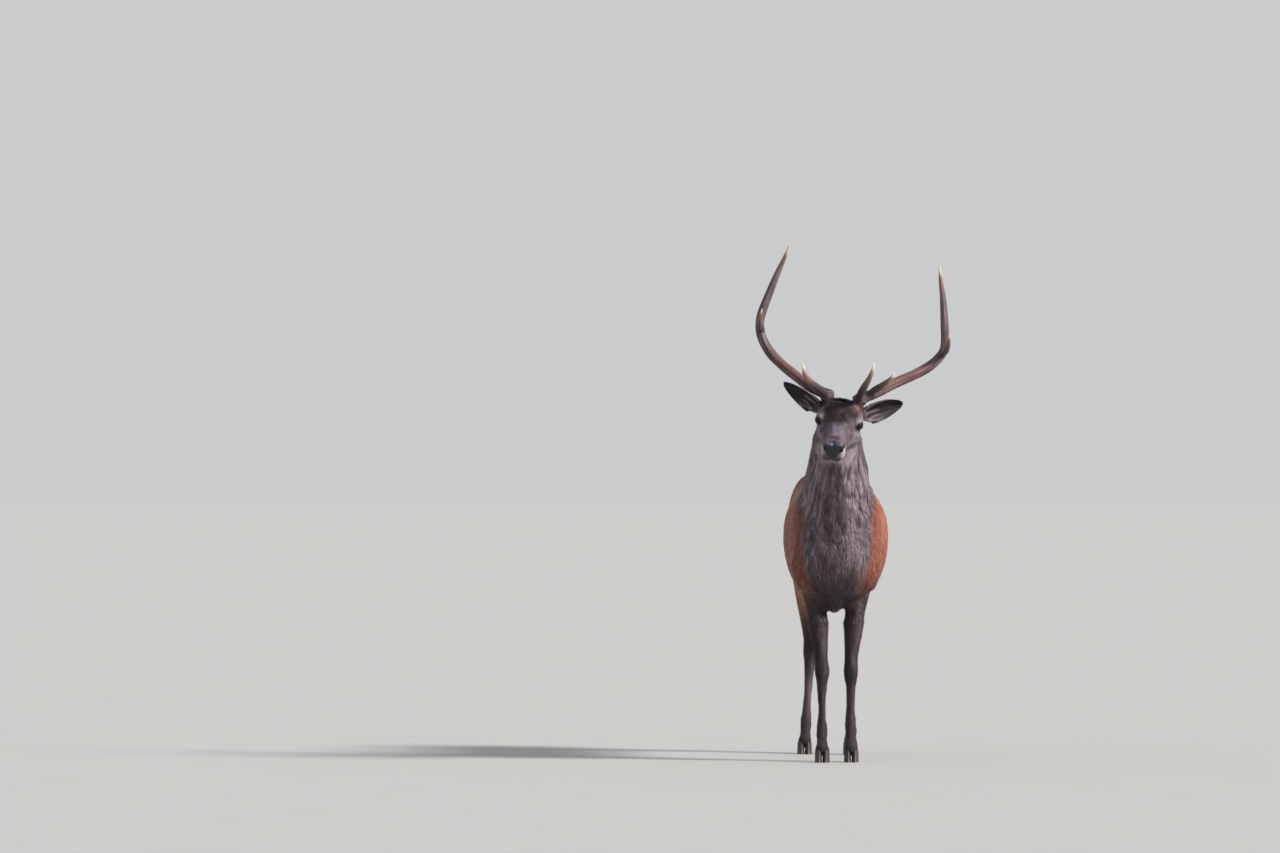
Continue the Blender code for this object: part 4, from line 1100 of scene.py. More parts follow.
    # ears
    for name in SIDES:
        share, e = ear_share(p, name)
        paint(EAR_BACK_GREY, share)
        cup = EAR_CUP * np.clip(1 - e[:, 0] / EAR_LENGTH, 0, 1) ** 0.7 + EAR_TIP_CUP
        bow = cup * ((e[:, 2] / 0.046) ** 2 - 0.5)
        hollow = ramp(e[:, 1] + bow - EAR_TIP_CURL * (e[:, 0] / EAR_LENGTH) ** 2, 0.0030, 0.0018)
        paint(EAR_HOLLOW, share * hollow)
        streak = ramp(wobble(e, waves(13, 0.016, 20, grain=(1, 0, 0), squeeze=0.85)), 0.1, 1.2)
        paint(EAR_EDGE, 0.42 * share * hollow * streak * ramp(e[:, 0], 0.15, 0.05))
        half = 0.042 * np.sin(math.pi * np.clip(e[:, 0] / EAR_LENGTH, 0.05, 1) ** 0.8) ** 0.6
        rim = ramp(np.abs(e[:, 2]) - half, -0.008, 0.000)
        paint(EAR_EDGE, 0.45 * share * hollow * rim * ramp(e[:, 0], 0.12, 0.05))
        paint(LIP_DARK, 0.6 * share * (1 - hollow) * rim)
        inner = -0.05 + 0.70 * ramp(e[:, 0], 0.030, 0.095)
        upper = ramp(e[:, 2] / half, inner, inner + 0.30) * ramp(e[:, 0], 0.130, 0.090)
        paint(EAR_EDGE, 0.9 * share * upper)
    return colour


# ---- the lie of the coat -------------------------------------------------------------------------
def lie(p):
    """Which way the hair runs at each point, before it is laid on the skin."""
    x, y, z = p.T
    side = np.sign(x)
    h = in_head(p)
    run = np.zeros_like(p)

    def turn_to(direction, share):
        nonlocal run
        run = run + (unit(direction) - run) * np.clip(share, 0, 1)[:, None]

    def towards(a, b, c):
        return np.stack(np.broadcast_arrays(np.asarray(a, float) + 0 * x, b + 0 * x, c + 0 * x), 1)

    turn_to(towards(0, 1, -0.28), np.ones(len(p)))
    turn_to(towards(0, 0.55, -1), 0.8 * ramp(z, 0.98, 0.80) * ramp(z, 0.62, 0.72))
    turn_to(towards(0, 1, -0.1), ramp(z, 0.70, 0.63) * ramp(y, -0.28, -0.15) * ramp(y, 0.36, 0.26))
    turn_to(towards(0, 0.40, -1), ramp(y, -0.20, -0.32) * ramp(z, 1.12, 1.00))
    turn_to(towards(0, 0.30, -1), ramp(y, 0.40, 0.52))
    turn_to(towards(-0.15 * side, 0.25, -1), ramp(y, -0.40, -0.48))
    turn_to(towards(0, 0.45, -1), ramp(y, 0.22, 0.34) * ramp(z, 0.92, 0.76))
    turn_to(towards(0, 0.12, -1), ramp(z, 0.66, 0.56))
    neckward = ramp(beyond(p, SHOULDER), -0.10, 0.02)
    front = ramp(neck_front(p), -0.42, -0.52)
    turn_to(towards(*NECK_GRAIN), neckward)
    turn_to(towards(0.10 * side, 0.10, -1), neckward * front)
    turn_to(towards(0, 0.25, -1), egg(p, (0, 0.60, 0.95), (0.06, 0.07, 0.16), 0.6))
    # head: back from the nose, out round the eyes, up and out on the crown
    back = np.stack([0.10 * np.sign(h[:, 0]), np.ones(len(p)), -0.20 * ramp(np.abs(h[:, 0]), 0.02, 0.05)], 1)
    headward = ramp(beyond(p, THROAT), -0.03, 0.02)
    turn_to(back @ HEAD_TURN.T, headward)
    crown = egg(h, (0, 0.075, 0.085), (0.070, 0.065, 0.045), 0.3)
    outward = 0.5 * np.sign(h[:, 0]) * ramp(np.abs(h[:, 0]), 0, 0.03)
    upward = np.stack([outward, np.full(len(p), -0.35), np.ones(len(p))], 1)
    turn_to(upward @ HEAD_TURN.T, headward * 0.75 * crown)
    for name in SIDES:
        share, e = ear_share(p, name)
        ear_turn = np.array(ear_axes(name).to_3x3())
        tipward = np.stack([np.ones(len(p)), 0 * x, 6.0 * e[:, 2] * ramp(e[:, 0], 0.16, 0.05)], 1)
        turn_to(tipward @ ear_turn.T, share)
    return run


TRUNK_HAIR, BREAST_HAIR, NECK_HAIR, LEG_HAIR, FACE_HAIR, EAR_HAIR = 0.031, 0.046, 0.052, 0.015, 0.013, 0.008


def coat_length(p):
    """How long the hair grows at each point."""
    _, y, z = p.T
    h = in_head(p)
    length = TRUNK_HAIR + 0.010 * ramp(z, 0.70, 0.62) + 0.006 * ramp(y, 0.45, 0.56)
    length = length + (BREAST_HAIR - length) * ramp(y, -0.34, -0.46) * ramp(z, 0.60, 0.72)
    neckward = ramp(beyond(p, SHOULDER), -0.14, 0.04)
    front = ramp(neck_front(p), -0.42, -0.52)
    length = length + (NECK_HAIR + 0.018 * front - length) * neckward
    low = ramp(z, 0.66, 0.50)
    length = length + (LEG_HAIR - 0.004 * ramp(z, 0.40, 0.10) - length) * low
    length = length + 0.020 * egg(p, (0, 0.61, 0.90), (0.06, 0.06, 0.10), 0.6)
    headward = ramp(beyond(p, THROAT), -0.12, 0.04)
    face = FACE_HAIR - 0.007 * ramp(h[:, 1], 0.0, -0.18)
    face = face + 0.022 * egg(h, (0, 0.085, 0.085), (0.065, 0.055, 0.045), 0.3)
    face = face + 0.014 * ramp(h[:, 2], -0.06, -0.11) * ramp(h[:, 1], -0.05, 0.06)
    face = face * (0.45 + 0.55 * ramp(eye_distance(h), 0.024, 0.045))
    length = length + (face - length) * headward
    return length + (EAR_HAIR - length) * ears_share(p)


# ---- materials -----------------------------------------------------------------------------------
def add(tree, kind, inputs=(), **settings):
    """Adds a node with its settings; an input is a value, or another node's output to link from."""
    node = tree.nodes.new(kind)
    for name, value in settings.items():
        setattr(node, name, value)
    for key, value in dict(inputs).items():
        if isinstance(value, bpy.types.NodeSocket):
            tree.links.new(value, node.inputs[key])
        else:
            node.inputs[key].default_value = value
    return node


def start_material(name, **values):
    """A material, its node tree and its shader, with the shader's plain values set."""
    material = bpy.data.materials.new(name)
    material.use_nodes = True
    tree = material.node_tree
    shader = tree.nodes["Principled BSDF"]
    for key, value in values.items():
        shader.inputs[key.replace("_", " ")].default_value = value
    return material, tree, shader


def scaled(tree, colour, low, high, factor):
    """A colour made darker or lighter: times low where the factor is 0, times high where it is 1."""
    gain = add(tree, "ShaderNodeMapRange", {"Value": factor, "To Min": low, "To Max": high}).outputs[0]
    return add(tree, "ShaderNodeVectorMath", {0: colour, "Scale": gain}, operation="SCALE").outputs[0]


WAVE_LENGTH = 2 * math.pi / 20  # how far apart a wave pattern's bands lie at scale 1


def cell_scale(millimetres):
    """The scale of a pattern whose cells are this wide: how many of them go into a metre."""
    return 1000 / millimetres


def hair_material(name, strands, root, tip, roughness, sheen):
    """Hair: keratin strands side by side in each tuft, darker at the root, with a soft sheen along them.

    Real hairs are too fine to show, so about as many strands as given are drawn across a tuft.
    """
    material, tree, shader = start_material(name, Roughness=roughness, IOR=1.5, Sheen_Weight=sheen)
    shader.inputs["Sheen Roughness"].default_value = 0.5
    shader.inputs["Specular IOR Level"].default_value = 0.28
    colour = add(tree, "ShaderNodeAttribute", attribute_name="marking").outputs["Color"]
    strand = add(tree, "ShaderNodeAttribute", attribute_name="strand").outputs["Vector"]
    along = add(tree, "ShaderNodeSeparateXYZ", {0: strand}).outputs["Y"]
    # across the tuft, along it, and from one tuft to the next
    stretch = add(tree, "ShaderNodeVectorMath", {0: strand, 1: (strands, 0.8, 91.0)}, operation="MULTIPLY")
    grain = {"Vector": stretch.outputs[0], "Scale": 1.0, "Detail": 2.0, "Roughness": 0.6}
    streak = add(tree, "ShaderNodeTexNoise", grain)
    streaked = scaled(tree, colour, 0.55, 1.45, streak.outputs[0])
    # Each tuft is darker towards its root: partly the hair's own tone, partly painted shade where the tufts
    # lie over one another.
    ends = scaled(tree, streaked, root, tip, along)
    tree.links.new(ends, shader.inputs["Base Color"])
    bump = add(tree, "ShaderNodeBump", {"Height": streak.outputs[0], "Strength": 0.35, "Distance": 0.0006})
    tree.links.new(bump.outputs[0], shader.inputs["Normal"])
    return material


def skin_material():
    """The short undercoat on the skin, and where it is bare the black wet leather of nose and lids.

    The hairs of an undercoat are too fine to show, so its fuzz is drawn as coarse as small locks.
    """
    material, tree, shader = start_material("undercoat_on_skin", IOR=1.5)
    colour = add(tree, "ShaderNodeAttribute", attribute_name="marking").outputs["Color"]
    bare = add(tree, "ShaderNodeAttribute", attribute_name="bare").outputs["Fac"]
    where = add(tree, "ShaderNodeTexCoord").outputs["Object"]
    fuzz = {"Vector": where, "Scale": cell_scale(2.38), "Detail": 3.0, "Roughness": 0.65}
    fine = add(tree, "ShaderNodeTexNoise", fuzz)
    broad = add(tree, "ShaderNodeTexNoise", {"Vector": where, "Scale": cell_scale(16.7), "Detail": 3.0})
    under = scaled(tree, colour, 0.70, 1.20, fine.outputs[0])
    under = scaled(tree, under, 0.75, 1.25, broad.outputs[0])
    pebbled = {"Vector": where, "Scale": cell_scale(2.63)}
    pebbles = add(tree, "ShaderNodeTexVoronoi", pebbled, feature="SMOOTH_F1")
    # The leather is lighter on each pebble and darker in the pits between them: painted highlight and shade.
    leather = scaled(tree, colour, 1.25, 0.55, pebbles.outputs["Distance"])
    mixed = add(tree, "ShaderNodeMix", {0: bare, 6: under, 7: leather}, data_type="RGBA").outputs[2]
    tree.links.new(mixed, shader.inputs["Base Color"])
    wet = add(tree, "ShaderNodeMapRange", {"Value": bare, "To Min": 0.75, "To Max": 0.26})
    tree.links.new(wet.outputs[0], shader.inputs["Roughness"])
    hairs = add(tree, "ShaderNodeBump", {"Height": fine.outputs[0], "Strength": 0.5, "Distance": 0.0008})
    pits = {"Height": pebbles.outputs["Distance"], "Strength": bare, "Distance": 0.0007}
    pitted = add(tree, "ShaderNodeBump", {**pits, "Normal": hairs.outputs[0]}, invert=True)
    tree.links.new(pitted.outputs[0], shader.inputs["Normal"])
    return material


def antler_material():
    """Antler: grooved bone stained brown by bark and sap, rubbed pale on its ridges and ivory at its tips."""
    material, tree, shader = start_material("weathered_antler", IOR=1.54)
    colour = add(tree, "ShaderNodeAttribute", attribute_name="marking").outputs["Color"]
    ridge = add(tree, "ShaderNodeAttribute", attribute_name="ridge").outputs["Fac"]
    where = add(tree, "ShaderNodeTexCoord").outputs["Object"]
    bone = {"Vector": where, "Scale": cell_scale(4.17), "Detail": 5.0, "Roughness": 0.65}
    grain = add(tree, "ShaderNodeTexNoise", bone)
    stain = add(tree, "ShaderNodeTexNoise", {"Vector": where, "Scale": cell_scale(29.4), "Detail": 3.0})
    worn = scaled(tree, colour, 0.50, 1.50, ridge)
    worn = scaled(tree, worn, 0.70, 1.30, stain.outputs[0])
    worn = scaled(tree, worn, 0.80, 1.20, grain.outputs[0])
    tree.links.new(worn, shader.inputs["Base Color"])
    rough = add(tree, "ShaderNodeMapRange", {"Value": ridge, "To Min": 0.72, "To Max": 0.52})
    tree.links.new(rough.outputs[0], shader.inputs["Roughness"])
    pores = add(tree, "ShaderNodeBump", {"Height": grain.outputs[0], "Strength": 0.45, "Distance": 0.0005})
    tree.links.new(pores.outputs[0], shader.inputs["Normal"])
    return material


def hoof_material():
    """Hoof horn: black-brown keratin laid down in rings, scuffed grey towards the floor."""
    material, tree, shader = start_material("hoof_horn", IOR=1.55)
    where = add(tree, "ShaderNodeTexCoord").outputs["Object"]
    height = add(tree, "ShaderNodeSeparateXYZ", {0: where}).outputs["Z"]
    growth = {"Vector": where, "Scale": cell_scale(4.19) * WAVE_LENGTH, "Distortion": 3.0, "Detail": 2.0}
    rings = add(tree, "ShaderNodeTexWave", growth, bands_direction="Z")
    scuffs = add(tree, "ShaderNodeTexNoise", {"Vector": where, "Scale": cell_scale(7.69), "Detail": 4.0})
    worn = {"Value": height, "From Min": 0.0, "From Max": 0.035, "To Min": 1.0, "To Max": 0.0}
    low = add(tree, "ShaderNodeMapRange", worn)
    horns = {0: low.outputs[0], 6: (*linear(HORN_BLACK), 1), 7: (*linear(HORN_GREY), 1)}
    horn = add(tree, "ShaderNodeMix", horns, data_type="RGBA")
    ringed = scaled(tree, horn.outputs[2], 0.85, 1.15, rings.outputs["Fac"])
    scuffed = scaled(tree, ringed, 0.65, 1.40, scuffs.outputs[0])
    tree.links.new(scuffed, shader.inputs["Base Color"])
    rough = add(tree, "ShaderNodeMapRange", {"Value": scuffs.outputs[0], "To Min": 0.35, "To Max": 0.65})
    tree.links.new(rough.outputs[0], shader.inputs["Roughness"])
    ridge = {"Height": rings.outputs["Fac"], "Strength": 0.2, "Distance": 0.0004}
    ridges = add(tree, "ShaderNodeBump", ridge)
    tree.links.new(ridges.outputs[0], shader.inputs["Normal"])
    return material


def eye_material():
    """A deer's eye: nearly black, with a dark brown iris and a wide pupil under a clear wet cornea.

    The iris's threads are too fine to show, so they are drawn a millimetre wide.
    """
    cornea = {"Coat_Weight": 0.55, "Coat_Roughness": 0.03, "Coat_IOR": 1.376}
    material, tree, shader = start_material("wet_eye", Roughness=0.45, IOR=1.2, **cornea)
    colour = add(tree, "ShaderNodeAttribute", attribute_name="marking").outputs["Color"]
    where = add(tree, "ShaderNodeTexCoord").outputs["Object"]
    threads = add(tree, "ShaderNodeTexNoise", {"Vector": where, "Scale": cell_scale(1.11), "Detail": 2.0})
    tree.links.new(scaled(tree, colour, 0.6, 1.4, threads.outputs[0]), shader.inputs["Base Color"])
    return material


def floor_material():
    """Plaster floated smooth: pale and matt, with the faintest clouds."""
    material, tree, shader = start_material("pale_plaster_floor", Roughness=0.9)
    where = add(tree, "ShaderNodeTexCoord").outputs["Object"]
    grain = add(tree, "ShaderNodeTexNoise", {"Vector": where, "Scale": cell_scale(333), "Detail": 4.0})
    plaster = add(tree, "ShaderNodeRGB")
    plaster.outputs[0].default_value = (*linear(FLOOR_GREY), 1)
    clouded = scaled(tree, plaster.outputs[0], 0.97, 1.03, grain.outputs[0])
    tree.links.new(clouded, shader.inputs["Base Color"])
    return material


# ---- the coat ------------------------------------------------------------------------------------
# A tuft's corners as share of its length, place across it and lift, then its faces, and in how many stretches
# it follows the skin. Each ends in three points.
SHORT_TUFT = (
    (
        (0, -0.50, 0), (0, -0.17, 0), (0, 0.17, 0), (0, 0.50, 0),
        (0.85, -0.38, 0), (1.00, 0.04, 0), (0.78, 0.40, 0),
    ),
    ((0, 1, 4), (1, 2, 5), (2, 3, 6)),
    1,
)
BODY_TUFT = (
    (
        (0.0, -0.22, 0), (0.0, 0.22, 0),
        (0.5, -0.50, 0), (0.5, -0.17, 0.08), (0.5, 0.17, 0.08), (0.5, 0.50, 0),
        (0.90, -0.34, 0), (1.00, 0.03, 0), (0.84, 0.36, 0),
    ),
    ((0, 1, 3), (1, 4, 3), (0, 3, 2), (1, 5, 4), (2, 3, 6), (3, 4, 7), (4, 5, 8)),
    2,
)
MANE_LOCK = (
    (
        (0.0, -0.30, 0), (0.0, 0.30, 0),
        (0.33, -0.50, 0), (0.33, 0.00, 0.14), (0.33, 0.50, 0),
        (0.62, -0.40, 0), (0.62, -0.12, 0.08), (0.62, 0.14, 0.08), (0.62, 0.42, 0),
        (0.90, -0.30, 0), (1.00, 0.02, 0), (0.82, 0.30, 0),
    ),
    (
        (0, 1, 3), (0, 3, 2), (1, 4, 3),
        (2, 3, 6), (2, 6, 5), (3, 7, 6), (3, 4, 8), (3, 8, 7),
        (5, 6, 9), (6, 7, 10), (7, 8, 11),
    ),
    3,
)
STRAY = {1: 0.26, 2: 0.16, 3: 0.13}  # how far a tuft of so many stretches turns out of the lie, in radians


def each_side(name, *growth):
    """The same growth on the left and on the right."""
    return {f"{name}_{side}": growth for side in SIDES}


# Each piece of coat: how many tufts, of which kind, width as share of length, gathering of the tips, and the
# direction and size of its clumps.
COATS = {
    **each_side("coat_face", 36000, SHORT_TUFT, 0.19, 0.0006, NECK_GRAIN, 0.012),
    "coat_ears": (17000, SHORT_TUFT, 0.18, 0.0005, (1, 0, 0), 0.010),
    **each_side("coat_neck", 13500, MANE_LOCK, 0.062, 0.0060, NECK_GRAIN, 0.030),
    "coat_breast": (13000, MANE_LOCK, 0.075, 0.0050, (0, 0, 1), 0.028),
    **each_side("coat_flank", 22000, BODY_TUFT, 0.165, 0.0014, TRUNK_GRAIN, 0.020),
    **each_side("coat_quarter", 16500, BODY_TUFT, 0.165, 0.0014, (0, 0.4, -1), 0.020),
    "coat_forelegs": (27000, SHORT_TUFT, 0.180, 0.0006, (0, 0, 1), 0.012),
    "coat_hindlegs": (27000, SHORT_TUFT, 0.180, 0.0006, (0, 0, 1), 0.012),
    "coat_tail": (3500, MANE_LOCK, 0.080, 0.0030, (0, 0, 1), 0.020),
}
LEG_COAT_TOP, EAR_COAT_DEPTH = 0.575, 0.0014
COAT_SEED, SEED_STEP = 100, 10


def coat_zone(p):
    """Which piece of coat grows at each point, as its place in COATS, and how thickly."""
    x, y, z = p.T
    h = in_head(p)
    number = {name: i for i, name in enumerate(COATS)}

    def sided(name, left):
        return np.where(left, number[name + "_left"], number[name + "_right"])

    zone = np.where(y < 0.27, sided("coat_flank", x > 0), sided("coat_quarter", x > 0))
    for where, piece in (
        ((y < -0.355) & (z > 0.58), number["coat_breast"]),
        (beyond(p, SHOULDER) > -0.03, sided("coat_neck", x > 0)),
        (beyond(p, THROAT) > 0.0, sided("coat_face", h[:, 0] > 0)),
        (ears_share(p) > 0.05, number["coat_ears"]),
        ((z < LEG_COAT_TOP) & (y < 0), number["coat_forelegs"]),
        ((z < LEG_COAT_TOP) & (y > 0), number["coat_hindlegs"]),
        ((y > 0.585) & (np.abs(x) < 0.06) & (z > 0.80), number["coat_tail"]),
    ):
        zone = np.where(where, piece, zone)
    thick = 1 - ramp(nose_pad(h), 0.1, 0.4)
    thick = thick * ramp(eye_distance(h), 0.0200, 0.0225)
    thick = thick * (1 + 1.2 * ramp(h[:, 1], -0.02, -0.12) * (beyond(p, THROAT) > 0))
    return zone, thick


def unwrapped(p, name):
    """Places of the roots on an unwrap of the skin: round the part of the body, and along it."""
    x, y, z = p.T
    h = in_head(p)
    if "face" in name:
        return np.arctan2(h[:, 0], h[:, 2] + 0.03), h[:, 1]
    if "ears" in name:
        ears_apart = ear_share(p, "left")[1][:, 1] > ear_share(p, "right")[1][:, 1]
        return h[:, 0], h[:, 2] + 3 * ears_apart
    if "neck" in name:
        return np.arctan2(x, neck_front(p) + 0.46), beyond(p, SHOULDER)
    if "leg" in name:
        return np.arctan2(np.abs(x) - 0.07, y - np.where(y < 0, -0.38, 0.44)), z + 2.0 * (x > 0)
    if "tail" in name:
        return np.arctan2(x, y - 0.60), z
    return np.arctan2(x, z - 0.86), y


def spread_evenly(p, name):
    """The unwrap's places moved apart, rank by rank, so no two tufts share one. All lie within 0 to 1."""
    around, along = unwrapped(p, name)
    rows = math.ceil(math.sqrt(len(p)))
    row = np.empty(len(p), int)
    row[np.argsort(along, kind="stable")] = np.arange(len(p)) // rows
    order = np.lexsort((around, row))
    column = np.empty(len(p), int)
    column[order] = np.arange(len(p)) - row[order] * rows
    return (np.stack([column, row], 1) + 0.5) / rows, min(0.0032, 0.9 / rows)


class SkinMap:
    """The skin as triangles, for finding roots on it and walking over it."""

    def __init__(self, skin):
        mesh = skin.data
        mesh.calc_loop_triangles()
        corners = np.empty(len(mesh.loop_triangles) * 3, np.int32)
        mesh.loop_triangles.foreach_get("vertices", corners)
        self.corners = corners.reshape(-1, 3)
        self.points, self.normals = points_of(skin), normals_of(skin)
        a, b, c = (self.points[self.corners[:, i]] for i in range(3))
        self.areas = 0.5 * np.linalg.norm(np.cross(b - a, c - a), axis=1)
        self.centres = (a + b + c) / 3
        self.facing = unit(self.normals[self.corners].mean(1))
        self.tree = BVHTree.FromPolygons(self.points.tolist(), self.corners.tolist(), all_triangles=True)

    def roots(self, weight, count, draw):
        """Evenly spread places: points and smooth normals."""
        total = np.cumsum(self.areas * weight)
        face = np.searchsorted(total, (np.arange(count) + draw.random(count)) / count * total[-1])
        face = np.minimum(face, len(total) - 1)
        r, s = np.sqrt(draw.random(count)), draw.random(count)
        share = np.stack([1 - r, r * (1 - s), r * s], 1)[:, :, None]
        corner = self.corners[face]
        return (self.points[corner] * share).sum(1), unit((self.normals[corner] * share).sum(1))

    def nearest(self, p):
        """The nearest place on the skin to each point, and the smooth normal there."""
        found = [self.tree.find_nearest(q) for q in p.tolist()]
        return np.array([f[0] for f in found]), self.facing[[f[2] for f in found]]


def across_skin(run, normal):
    """Directions laid flat on the skin."""
    return unit(run - (run * normal).sum(1)[:, None] * normal)


def grow(name, skin_map, weight, seed):
    """One piece of coat, as arrays of corners, faces and what each corner carries."""
    count, (corners, faces, stretches), width, gather, grain, clump = COATS[name]
    draw = np.random.default_rng(seed)
    root, normal = skin_map.roots(weight, count, draw)
    length = coat_length(root) * draw.uniform(0.80, 1.18, count)
    depth = np.where(ears_share(root) > 0.3, EAR_COAT_DEPTH, coat_depth(root))
    swirl = wobble(root, waves(seed + 1, clump * 2.5, grain=grain, squeeze=0.6))
    sway = STRAY[stretches] * (swirl + draw.normal(0, 0.4, count))

    def turned(run, at_normal):
        ahead = across_skin(run, at_normal)
        aside = np.cross(ahead, at_normal)
        return ahead * np.cos(sway)[:, None] + aside * np.sin(sway)[:, None]

    spine, up, ahead = [root], [normal], [turned(lie(root), normal)]
    for _ in range(stretches):
        step = spine[-1] + ahead[-1] * (length / stretches)[:, None]
        if stretches > 1:
            step, above = skin_map.nearest(step)
        else:
            above = normal
        spine.append(step)
        up.append(above)
        ahead.append(turned(lie(step), above) if stretches > 1 else ahead[0])
    pattern = waves(seed + 2, clump, grain=grain, squeeze=0.8)
    pull = -wobble_slope(root, pattern) * (clump / (2 * math.pi)) * gather
    crest = wobble(root, pattern)
    rise = depth * draw.uniform(0.70, 1.10, count) * (1 + 0.16 * crest)
    wide = length * width * draw.uniform(0.75, 1.25, count)
    # Each tuft's tone varies at random, and the raised crests of the clumps are painted a little lighter as a
    # painted highlight.
    tone_and_highlight = (1 + 0.08 * draw.normal(size=count) + 0.06 * crest)[:, None]
    colour = marked(root) * np.clip(tone_and_highlight, 0.55, 1.5)
    chance = draw.random(count)
    places, patch = spread_evenly(root, name)
    points, marks, strands, flats = [], [], [], []
    for share, aside, lift in corners:
        if share > 0.7:
            share = share * draw.uniform(0.86, 1.0, count)
            aside = aside + draw.normal(0, 0.14, count)
        share = np.broadcast_to(np.asarray(share, float), (count,))
        stage = np.minimum((share * stretches).astype(int), stretches - 1)
        part = (share * stretches - stage)[:, None]
        pick = np.arange(count)
        centre, above, forward = (
            np.stack(line)[stage, pick] * (1 - part) + np.stack(line)[stage + 1, pick] * part
            for line in (spine, up, ahead)
        )
        above = unit(above)
        sideways = unit(np.cross(forward, above))
        arch = 1 - (1 - share) ** 1.8
        height = rise * arch - 0.0010 * (share < 0.01)
        offset = (aside * wide)[:, None] * sideways + (height + lift * wide)[:, None] * above
        points.append(centre + offset + pull * (share**1.5)[:, None])
        marks.append(colour)
        strands.append(np.stack([np.broadcast_to(aside, (count,)) + 0.5, share, chance], 1))
        spot = np.stack([np.clip(aside, -0.5, 0.5) + 0 * share, np.clip(share, 0, 1) - 0.5], 1)
        flats.append(places + spot * patch)
    n = len(corners)
    index = (np.array(faces)[None] + np.arange(count)[:, None, None] * n).reshape(-1, 3)
    points, marks, strands, flats = (
        np.stack(parts, 1).reshape(count * n, -1) for parts in (points, marks, strands, flats)
    )
    return points, index, marks, strands, flats


def carry(mesh, **values):
    """Gives each point of a mesh its own value, or vector, under each name."""
    for name, value in values.items():
        vector = value.ndim == 2
        layer = mesh.attributes.new(name, "FLOAT_VECTOR" if vector else "FLOAT", "POINT")
        layer.data.foreach_set("vector" if vector else "value", value.astype(np.float32).ravel())


def dress(obj, material, marks=None, **values):
    """Gives a mesh its material, its smooth shading and the values that its material reads."""
    mesh = obj.data
    mesh.materials.clear()
    mesh.materials.append(material)
    mesh.shade_smooth()
    if marks is not None:
        layer = mesh.color_attributes.new("marking", "FLOAT_COLOR", "POINT")
        opaque = np.column_stack([marks, np.ones(len(marks))])
        layer.data.foreach_set("color", opaque.astype(np.float32).ravel())
    carry(mesh, **values)
    return obj


def coat_slot(name):
    """Which hair a piece of coat is made of."""
    if "legs" in name:
        return "leg_coat"
    return "grey_coat" if any(word in name for word in ("face", "ears", "neck", "breast")) else "rufous_coat"


def put(obj, name, slot, *nodes):
    """Names a finished piece, moves its mesh over the origin, and hides the parts of the model that it stands
    in for.
    """
    obj.name = obj.data.name = name
    obj.data.transform(Matrix.Translation(ORIGIN))
    obj.data.update()
    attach(obj, BODY)
    if nodes:
        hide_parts(*nodes)
    return obj


def make_coat(skin_map):
    """Every piece of coat, with its unwrap for the baked colours."""
    hair = {
        SHORT_TUFT: hair_material("short_summer_hair", 3.0, 0.78, 1.06, 0.55, 0.05),
        BODY_TUFT: hair_material("body_coat_hair", 6.0, 0.84, 1.06, 0.48, 0.06),
        MANE_LOCK: hair_material("coarse_mane_hair", 7.0, 0.66, 1.10, 0.48, 0.06),
    }
    zone, thick = coat_zone(skin_map.centres)
    for number, name in enumerate(COATS):
        weight = thick * (zone == number)
        points, faces, marks, strands, flats = grow(name, skin_map, weight, COAT_SEED + SEED_STEP * number)
        piece = mesh_object(name, points, faces)
        layer = piece.data.uv_layers.new(name="OFBake")
        layer.data.foreach_set("uv", flats[faces.ravel()].astype(np.float32).ravel())
        dress(piece, hair[COATS[name][1]], marks, strand=strands)
        put(piece, name, coat_slot(name))


# ---- antlers -------------------------------------------------------------------------------------
ANTLER_VOXEL = 0.0022
ANTLER_BROWN, ANTLER_RED, ANTLER_DARK, ANTLER_PALE = "544348", "66403E", "271B1B", "7B6B71"
TINE_TAN, IVORY = "8A6450", "D6C3A6"
BURR_REACH, PEARL_HEIGHT, GROOVE_DEPTH, FURROW_DEPTH = 0.0075, 0.0017, 0.00075, 0.00055


def centreline(rows):
    """Points close together along a row table: place, both sides, distance, share of the length, radius."""
    rows = smooth_rows(rows, 16)
    path = rows[:, :3]
    _, side, other = carried(path)
    distance = np.concatenate([[0], np.cumsum(np.linalg.norm(np.diff(path, axis=0), axis=1))])
    return path, side, other, distance, distance / distance[-1], rows[:, 3]


